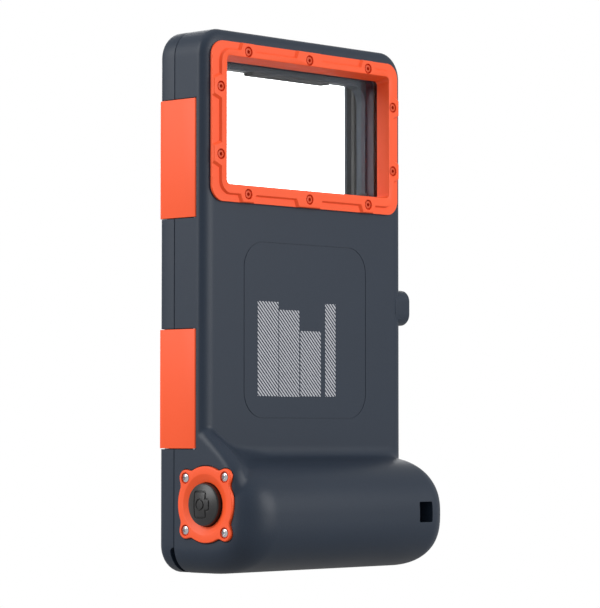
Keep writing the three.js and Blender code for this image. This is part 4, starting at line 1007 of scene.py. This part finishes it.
def makeBezel():
    size, edge, soft = buttonSize, buttonSize.bezelEdge, buttonSize.coneSoft
    rings = [roundButton(bezelOutline(0), -size.recess + case.seatGap)]
    rings += [roundButton(bezelOutline(-inset), size.proud - drop) for inset, drop in quarterRound(edge, 6)]
    throat, coneEnd = size.cap + size.capGap, size.proud - size.coneDepth
    inside = [
        (size.cone + soft, size.proud), (size.cone + soft * 0.3, size.proud - soft * 0.1),
        (size.cone - soft * 0.3, size.proud - soft * 0.4), (throat + soft, coneEnd + soft * 0.35),
        (throat + soft * 0.25, coneEnd), (throat, coneEnd - soft), (throat, -size.collarDepth),
        (size.collar, -size.collarDepth), (size.collar, -size.recess + case.seatGap),
    ]
    return loft("shutterBezel", rings + [roundButton(circle(radius), out) for radius, out in inside], True)


def bezelScrewPlaces():
    out, size = case.half + buttonSize.proud - buttonSize.screwSink, buttonSize
    return [(out, size.deep + deep, size.up + up) for deep, up in lobeSpots()]


def bezelScrewRooms():
    size = buttonSize
    hole, seat, head = size.screwHole, size.screwSeat, size.screwRoom
    steps = [(hole, size.screwDeep), (hole, seat), (head - 0.1, seat), (head, size.screwOut)]
    return [screwRoom(spot, (1, 0, 0), steps, 40) for spot in bezelScrewPlaces()]


rearShell = combine(makeShellSkin(), [makeBoss()], "UNION")
combine(rearShell, shellCutters())
finishPiece(rearShell, shellPlastic, "shell", ["rear_shell"], 30)
print("rear shell made", len(rearShell.data.polygons), "faces")

shutterBezel = combine(makeBezel(), bezelScrewRooms())
finishPiece(shutterBezel, orangePlastic, "shell", ["shutter_bezel"])
print("bezel made")


def boxDistance(across, up, halfAcross, halfUp, radius):
    outside = np.stack([np.abs(across) - halfAcross + radius, np.abs(up) - halfUp + radius])
    return np.hypot(*np.maximum(outside, 0)) + np.minimum(outside.max(0), 0) - radius


def iconGroove(across, up):
    # Share of groove depth at a point of the button's face: the outline of a camera with its lens
    icon, across = iconSize, across - iconSize.shift
    body = boxDistance(across, up, icon.halfAcross, icon.halfUp, icon.corner)
    hump = boxDistance(across - icon.halfAcross, up, icon.humpReach, icon.humpHalf, icon.humpCorner)
    lens = np.hypot(across - icon.lensShift, up) - icon.lens
    line = np.minimum(np.abs(np.minimum(body, hump)), np.abs(lens))
    return np.clip((icon.line + icon.soft - line) / icon.soft, 0, 1)


def makeButton():
    size, edge, sides = buttonSize, buttonSize.capEdge, 288
    coneEnd = size.proud - size.coneDepth
    face, back, top = coneEnd + size.rise, coneEnd - size.capDepth, size.cap - edge
    wall = [(size.cap - size.capFoot, back), (size.cap, back + size.capFootDepth)]
    wall += [(size.cap - inset, face - drop) for inset, drop in quarterRound(edge, 12)[:-1]]
    rings = [roundButton(circle(radius, sides), out) for radius, out in wall]
    for radius in np.linspace(top, 0.12, 90):
        flat, dome = circle(radius, sides), size.dome * (1 - (radius / top) ** 2)
        rings.append(roundButton(flat, face + dome - iconSize.depth * iconGroove(flat[:, 0], flat[:, 1])))
    return loft("shutterButton", rings)


finishPiece(makeButton(), blackRubber, "button", ["shutter_button"], 40)
print("button made")


# Panes, with their edges softened

def makePane(name, outline, start, thickness, soft=0.25):
    places = ((soft, start), (0, start + soft), (0, start + thickness - soft), (soft, start + thickness))
    return loftY(name, [(outline(inset), depth) for inset, depth in places])


frontOutline = lambda inset: windowRing(coverSize.margin - inset, coverSize.windowCorner)
frontPane = makePane("frontWindow", frontOutline, coverSize.recess + case.seatGap, coverSize.pane)
finishPiece(frontPane, clearSheet, "cover", ["front_window"], 20)
collarGrow = cameraSize.collar - case.seatGap
cameraOutline = lambda inset: centredRing(openHalfWidth + collarGrow - inset, openHalfHeight + collarGrow - inset,
                                          cameraSize.middle, cameraSize.openingCorner + cameraSize.collar)
cameraPane = makePane("cameraWindow", cameraOutline, case.depth - cameraSize.paneInset, cameraSize.pane)
finishPiece(cameraPane, clearSheet, "shell", ["camera_window"], 20)
print("panes made")


# Fasteners
frameScrew = Sizes(head=1.35, tall=1.3, shank=0.7, length=2.6, dome=0.04, edge=0.14, socket=1.25,
                   socketDepth=1.15, sides=40)
bezelScrew = Sizes(head=1.5, tall=0.45, shank=0.85, length=4.0, dome=0.55, edge=0.3, socket=1.3,
                   socketDepth=0.75, sides=40)
plateScrew = Sizes(head=1.4, tall=0.7, shank=0.7, length=3.0, dome=0.1, edge=0.2, socket=1.2,
                   socketDepth=0.5, sides=32)


def numbered(name, count):
    return [f"{name}_{number}" for number in range(1, count + 1)]


def makeScrews(name, look, places, axis, material, nodes, seed):
    screws = setCopies(name, makeScrew(look), places, axis, material, seed, 2 * math.pi)
    finishPiece(screws, material, "shell", nodes)


frameSeat = frameFace - cameraSize.screwSink - frameScrew.tall - frameScrew.dome
framePlaces = [(across, frameSeat, cameraSize.middle + up) for across, up, *_ in framePads()]
makeScrews("frameScrews", frameScrew, framePlaces, (0, 1, 0), screwOrange, numbered("camera_frame_screw", 10),
           3)
makeScrews("bezelScrews", bezelScrew, bezelScrewPlaces(), (1, 0, 0), screwSteel, numbered("shutter_bezel_screw", 4),
           5)
plateSize = Sizes(soft=0.3, corner=5.0, screwSink=0.15, headGap=0.15, screwHole=1.0, screwDeep=-3)
plateScrewNodes = numbered("electronics_plate_screw", 4)
plateLow, plateHigh = layoutBox("electronics_plate")
plateSeat = plateLow[1] + plateSize.screwSink + plateScrew.tall
platePlaces = [(across, plateSeat, up) for across, _, up in nodeMiddles(plateScrewNodes)]
makeScrews("plateScrews", plateScrew, platePlaces, (0, -1, 0), screwSteel, plateScrewNodes, 7)


def makePins(name, nodes, axis):
    size = latchSize
    half, radius, edge = (size.length + 2 * size.pinEngage) / 2, size.pin, size.pinEdge
    profile = [(0, -half), (radius - edge, -half), (radius, edge - half), (radius, half - edge), (radius - edge, half),
               (0, half)]
    pattern = shade(turned("pin", profile, (0, 0, 0), (0, 0, 1), 24), 35)
    finishPiece(setCopies(name, pattern, nodeMiddles(nodes), axis, screwSteel), screwSteel, "shell", nodes)


pinNodes = ["latch_pin_" + name for name in latchNames]
makePins("sidePins", pinNodes[:4], (0, 0, 1))
makePins("endPins", pinNodes[4:], (1, 0, 0))
print("fasteners made")


# Brass insert with its thread, and the plate round it
insertMiddle = nodeMiddles(["tripod_insert"])[0]
insertFace = layoutBox("tripod_insert")[0][0]


def makeInsert():
    size, sides = insertSize, 96
    outer, edge, length, mouth = size.outer, size.edge, size.length, size.mouth
    angles = np.linspace(0, 2 * math.pi, sides, endpoint=False)
    steps = [(outer - edge, length), (outer, length - edge), (outer, edge)]
    steps += [(outer - inset, drop) for inset, drop in quarterRound(edge, 5)[1:]]
    steps += [(size.bore + mouth, 0), (size.bore, mouth)]
    for depth in np.arange(size.threadStart, length - size.floor, size.row):
        wave = np.abs(((depth / size.pitch - angles / (2 * math.pi)) % 1) * 2 - 1)
        rise = min(1, (depth - mouth) / size.threadRun)
        steps.append((size.bore - (size.bore - size.crest) * np.clip(wave * 1.5 - 0.25, 0, 1) * rise, depth))
    steps += [(size.bore, length - size.floor), (size.tip, length - size.floor)]
    return loft("tripodInsert", [alongX(circle(radius, sides) + insertMiddle[1:], insertFace + depth)
                                 for radius, depth in steps])


def makeEndPlate():
    inset, soft = boss.rim + boss.plateGap, boss.plateSoft
    steps = [(inset, boss.plate - boss.plateBack), (inset, soft), (inset + soft * 0.3, soft * 0.3),
             (inset + soft, boss.plateFront)]
    plate = loft("bossEndPlate", [alongX(bossOutline(inward), bossFace + depth) for inward, depth in steps])
    spot = (bossFace, *insertMiddle[1:])
    return combine(plate, [rod(insertSize.outer + boss.insertGap, -reachOver, reachOver, spot, (1, 0, 0), 64)])


finishPiece(makeInsert(), insertBrass, "shell", ["tripod_insert"], 40)
finishPiece(makeEndPlate(), glossBlack, "shell", ["boss_end_plate"])
print("boss made")


# Seals and pads

def makeGasket():
    low, high = layoutBox("cover_gasket")
    ring, radius = gasketRing(baySize.gasketWidth / 2, cornerSteps=10), (high[1] - low[1]) / 2
    edges = [(step, (step + 1) % len(ring)) for step in range(len(ring))]
    path = makeObject("coverGasket", alongY(ring, low[1] + radius), [], edges)
    return runTree(path, layBead, {"Radius": radius * mm, "Sides": 20, "Material": sealRubber})


def makeSeal(node, corner, width, soft=0.15):
    # A flat seal with softened edges, in its node's own place
    (left, front, bottom), (right, back, top) = layoutBox(node)
    places = [(soft, front), (0, front + soft), (0, back - soft), (soft, back), (width - soft, back),
              (width, back - soft), (width, front + soft), (width - soft, front)]
    return loftY(camelName(node), [(grownRing((left, bottom, right, top), corner, -inset), depth)
                                   for inset, depth in places], True)


finishPiece(makeGasket(), sealRubber, "shell", ["cover_gasket"], 50)
for node, body, corner, width in (("front_window_seal", "cover", 1.8, 1.8), ("camera_window_seal", "shell", 2.8, 1.2)):
    finishPiece(makeSeal(node, corner, width), sealRubber, body, [node])


def makePad(node, facing, look):
    # A foam pad glued by its back: its front crowns a little and its edges round off
    low, high = layoutBox(node)
    axis = int(np.argmax(np.abs(facing)))
    others = [other for other in range(3) if other != axis]
    back, front = (low[axis], high[axis]) if facing[axis] > 0 else (high[axis], low[axis])
    way = math.copysign(1, front - back)
    middle, half = ((low + high) / 2)[others], ((high - low) / 2)[others]
    edge, crown, soft = look.edge, look.crown, look.soft

    def level(inset, place, scale=1.0):
        flat = roundedRing(*(inset - half), *(half - inset), look.corner - inset, 6, 10) * scale
        return np.insert(middle + flat, axis, place, axis=1)

    rings = [level(soft, back), level(0, back + way * soft)]
    rings += [level(inset, front - way * (crown + drop)) for inset, drop in quarterRound(edge, 6)]
    rings += [level(edge, front - way * crown * share ** 2, share) for share in np.linspace(1, 0.04, 10)[1:]]
    return loft(camelName(node), rings)


widePad, thinPad = Sizes(corner=5.0, edge=0.9, crown=0.35, soft=0.1), Sizes(corner=0.8, edge=0.35, crown=0.1, soft=0.1)
padFacings = {
    "back_pad": (0, -1, 0), "end_pad_bottom": (0, 0, 1), "end_pad_top": (0, 0, -1),
    "edge_pad_left_lower": (1, 0, 0), "edge_pad_left_upper": (1, 0, 0),
    "edge_pad_right_lower": (-1, 0, 0), "edge_pad_right_upper": (-1, 0, 0),
}
for node, facing in padFacings.items():
    pad = makePad(node, facing, widePad if node == "back_pad" else thinPad)
    finishPiece(pad, padFoam, "shell", [node], 50)
print("seals and pads made")


# Plate that closes the grip, with its screws sunk in it

def makePlate():
    size, soft, front, back = plateSize, plateSize.soft, plateLow[1], plateHigh[1]
    outline = lambda inset: grownRing((plateLow[0], plateLow[2], plateHigh[0], plateHigh[2]), size.corner, -inset, 10)
    steps = [(outline(soft), back), (outline(0), back - soft)]
    plate = loftY("electronicsPlate", steps + [(outline(inset), front + drop) for inset, drop in quarterRound(soft, 4)])
    head, seat = plateScrew.head + size.headGap, -size.screwSink - plateScrew.tall
    holes = [(size.screwHole, size.screwDeep), (size.screwHole, seat), (head, seat), (head, 1)]
    return combine(plate, [screwRoom((across, front, up), (0, -1, 0), holes) for across, _, up in platePlaces])


finishPiece(makePlate(), blackPlastic, "shell", ["electronics_plate"])
print("plate made")


# Print on the back: bands of slanting bars, each band cut square by a box

def buildHatch():
    tree, given, result = newShapeTree("hatchBand", [
        ("Size", "Vector"), ("Pitch", "Float"), ("Line", "Float"), ("Slant", "Float"), ("Scale", "Float"),
    ])
    across, thick, tall = addNode(tree, "ShaderNodeSeparateXYZ", {0: given["Size"]}).outputs
    lean = addMath(tree, "TANGENT", given["Slant"], 0.0)
    span = addMath(tree, "ADD", tall, addMath(tree, "MULTIPLY", across, lean))
    row = addNode(tree, "GeometryNodeMeshLine", {
        "Count": addMath(tree, "ADD", addMath(tree, "DIVIDE", span, given["Pitch"]), 2.0),
        "Start Location": addVector(tree, Z=addMath(tree, "MULTIPLY", span, -0.5)),
        "Offset": addVector(tree, Z=given["Pitch"]),
    })
    barSize = addVector(tree, X=addMath(tree, "MULTIPLY", across, 2.0), Y=thick, Z=given["Line"])
    bar = addNode(tree, "GeometryNodeMeshCube", {"Size": barSize})
    bars = addNode(tree, "GeometryNodeInstanceOnPoints", {
        "Points": row.outputs[0], "Instance": bar.outputs[0],
        "Rotation": addVector(tree, Y=addMath(tree, "MULTIPLY", given["Slant"], -1.0)),
    })
    loose = addNode(tree, "GeometryNodeRealizeInstances", {"Geometry": bars.outputs[0]})
    boxSize = addVector(tree, X=across, Y=addMath(tree, "MULTIPLY", thick, 3.0), Z=tall)
    box = addNode(tree, "GeometryNodeMeshCube", {"Size": boxSize})
    clip = addNode(tree, "GeometryNodeMeshBoolean", {"Mesh 2": loose.outputs[0]}, operation="INTERSECT")
    tree.links.new(box.outputs[0], clip.inputs["Mesh 2"])
    band = addNode(tree, "GeometryNodeInstanceOnPoints", {
        "Points": given["Geometry"], "Instance": clip.outputs[0], "Scale": given["Scale"],
    })
    return endTree(tree, given, result, band.outputs[0])


printSize = Sizes(
    rows=((14.45, 24.8, 60.6, 93.4), (3.87, 14.15, 60.5, 90.7), (-7.17, 3.35, 60.7, 83.6), (-14.87, -9.47, 60.7, 93.5)),
    pitch=1.47, line=0.52, slant=math.radians(45), thick=0.12,
)


def makePrint():
    tree, size, bands = buildHatch(), printSize, []
    for left, right, bottom, top in size.rows:
        band = makeObject("backPrint", [((left + right) / 2, case.depth, (bottom + top) / 2)], [])
        bands.append(runTree(band, tree, {
            "Size": (right - left, size.thick, top - bottom), "Pitch": size.pitch, "Line": size.line,
            "Slant": size.slant, "Scale": mm, "Material": printSilver,
        }))
    return joinPieces(bands)


backPrint = makePrint()
finishPiece(backPrint, printSilver, "shell", [], 30)
print("print made", len(backPrint.data.polygons), "faces")


# CAD nodes that stay get their finish here
carried = {
    "shutter_plunger": blackPlastic, "shutter_seal": sealRubber, "shutter_switch": blackPlastic,
    "circuit_board": boardGreen, "battery_holder": blackPlastic, "coin_cell": screwSteel,
    "circuit_board_screw_1": screwSteel, "circuit_board_screw_2": screwSteel,
}
for name, material in carried.items():
    setMaterial(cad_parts[name], material)


# Floor, backdrop light and lamps
studio = Sizes(floorSize=6.0, floorColor=0.34, floorRoughness=0.9, floorSpecular=0.1, floorSheen=0.4, plainLight=0.57,
               aim=(0, 0, 0.093))
lamps = {
    "keyLamp": Sizes(place=(1.2, -0.65, 0.7), size=(0.8, 1.0), power=14.0),
    "fillLamp": Sizes(place=(-0.5, 1.3, 0.5), size=(0.6, 0.95), power=12.0),
    "topLamp": Sizes(place=(0, 0, 1.5), size=(1.2, 1.2), power=2.6),
    "frontLamp": Sizes(place=(-0.9, -1.1, 0.6), size=(0.9, 0.9), power=7.5),
}


def straightRays(tree):
    rays = tree.nodes.new("ShaderNodeLightPath").outputs
    return rays, addMath(tree, "MAXIMUM", rays["Is Camera Ray"], rays["Is Transmission Ray"])


def makeFloor():
    half, tone = studio.floorSize / 2 / mm, studio.floorColor
    corners = [(-half, -half, 0), (half, -half, 0), (half, half, 0), (-half, half, 0)]
    floor = makeObject("floor", corners, [(0, 1, 2, 3)])
    material, tree, surface = newMaterial("floorPaint")
    feed(tree, surface, {"Base Color": (tone, tone, tone, 1), "Roughness": studio.floorRoughness,
                         "Specular IOR Level": studio.floorSpecular})
    rays, straight = straightRays(tree)
    sheen = addMath(tree, "MULTIPLY", rays["Is Glossy Ray"], studio.floorSheen)
    glow = tree.nodes.new("ShaderNodeEmission")
    mixSurface(tree, tree.nodes["Material Output"], addMath(tree, "MAXIMUM", straight, sheen), surface, glow)
    setMaterial(floor, material)


def makeWorld():
    scene.world = bpy.data.worlds.new("studioWorld")
    scene.world.use_nodes = True
    tree = scene.world.node_tree
    tree.nodes.clear()
    plain, seen = (addNode(tree, "ShaderNodeBackground", {"Color": (1, 1, 1, 1), "Strength": strength})
                   for strength in (studio.plainLight, 1.0))
    mixSurface(tree, tree.nodes.new("ShaderNodeOutputWorld"), straightRays(tree)[1], plain, seen)


def makeLamp(name, look):
    data = bpy.data.lights.new(name, "AREA")
    data.shape, data.energy = "RECTANGLE", look.power
    data.size, data.size_y = look.size
    lamp = bpy.data.objects.new(name, data)
    lamp.location = look.place
    lamp.rotation_euler = (Vector(studio.aim) - Vector(look.place)).to_track_quat("-Z", "Y").to_euler()
    scene.collection.objects.link(lamp)


makeFloor()
makeWorld()
for name, look in lamps.items():
    makeLamp(name, look)
scene.view_settings.view_transform = "Standard"
print("studio made")
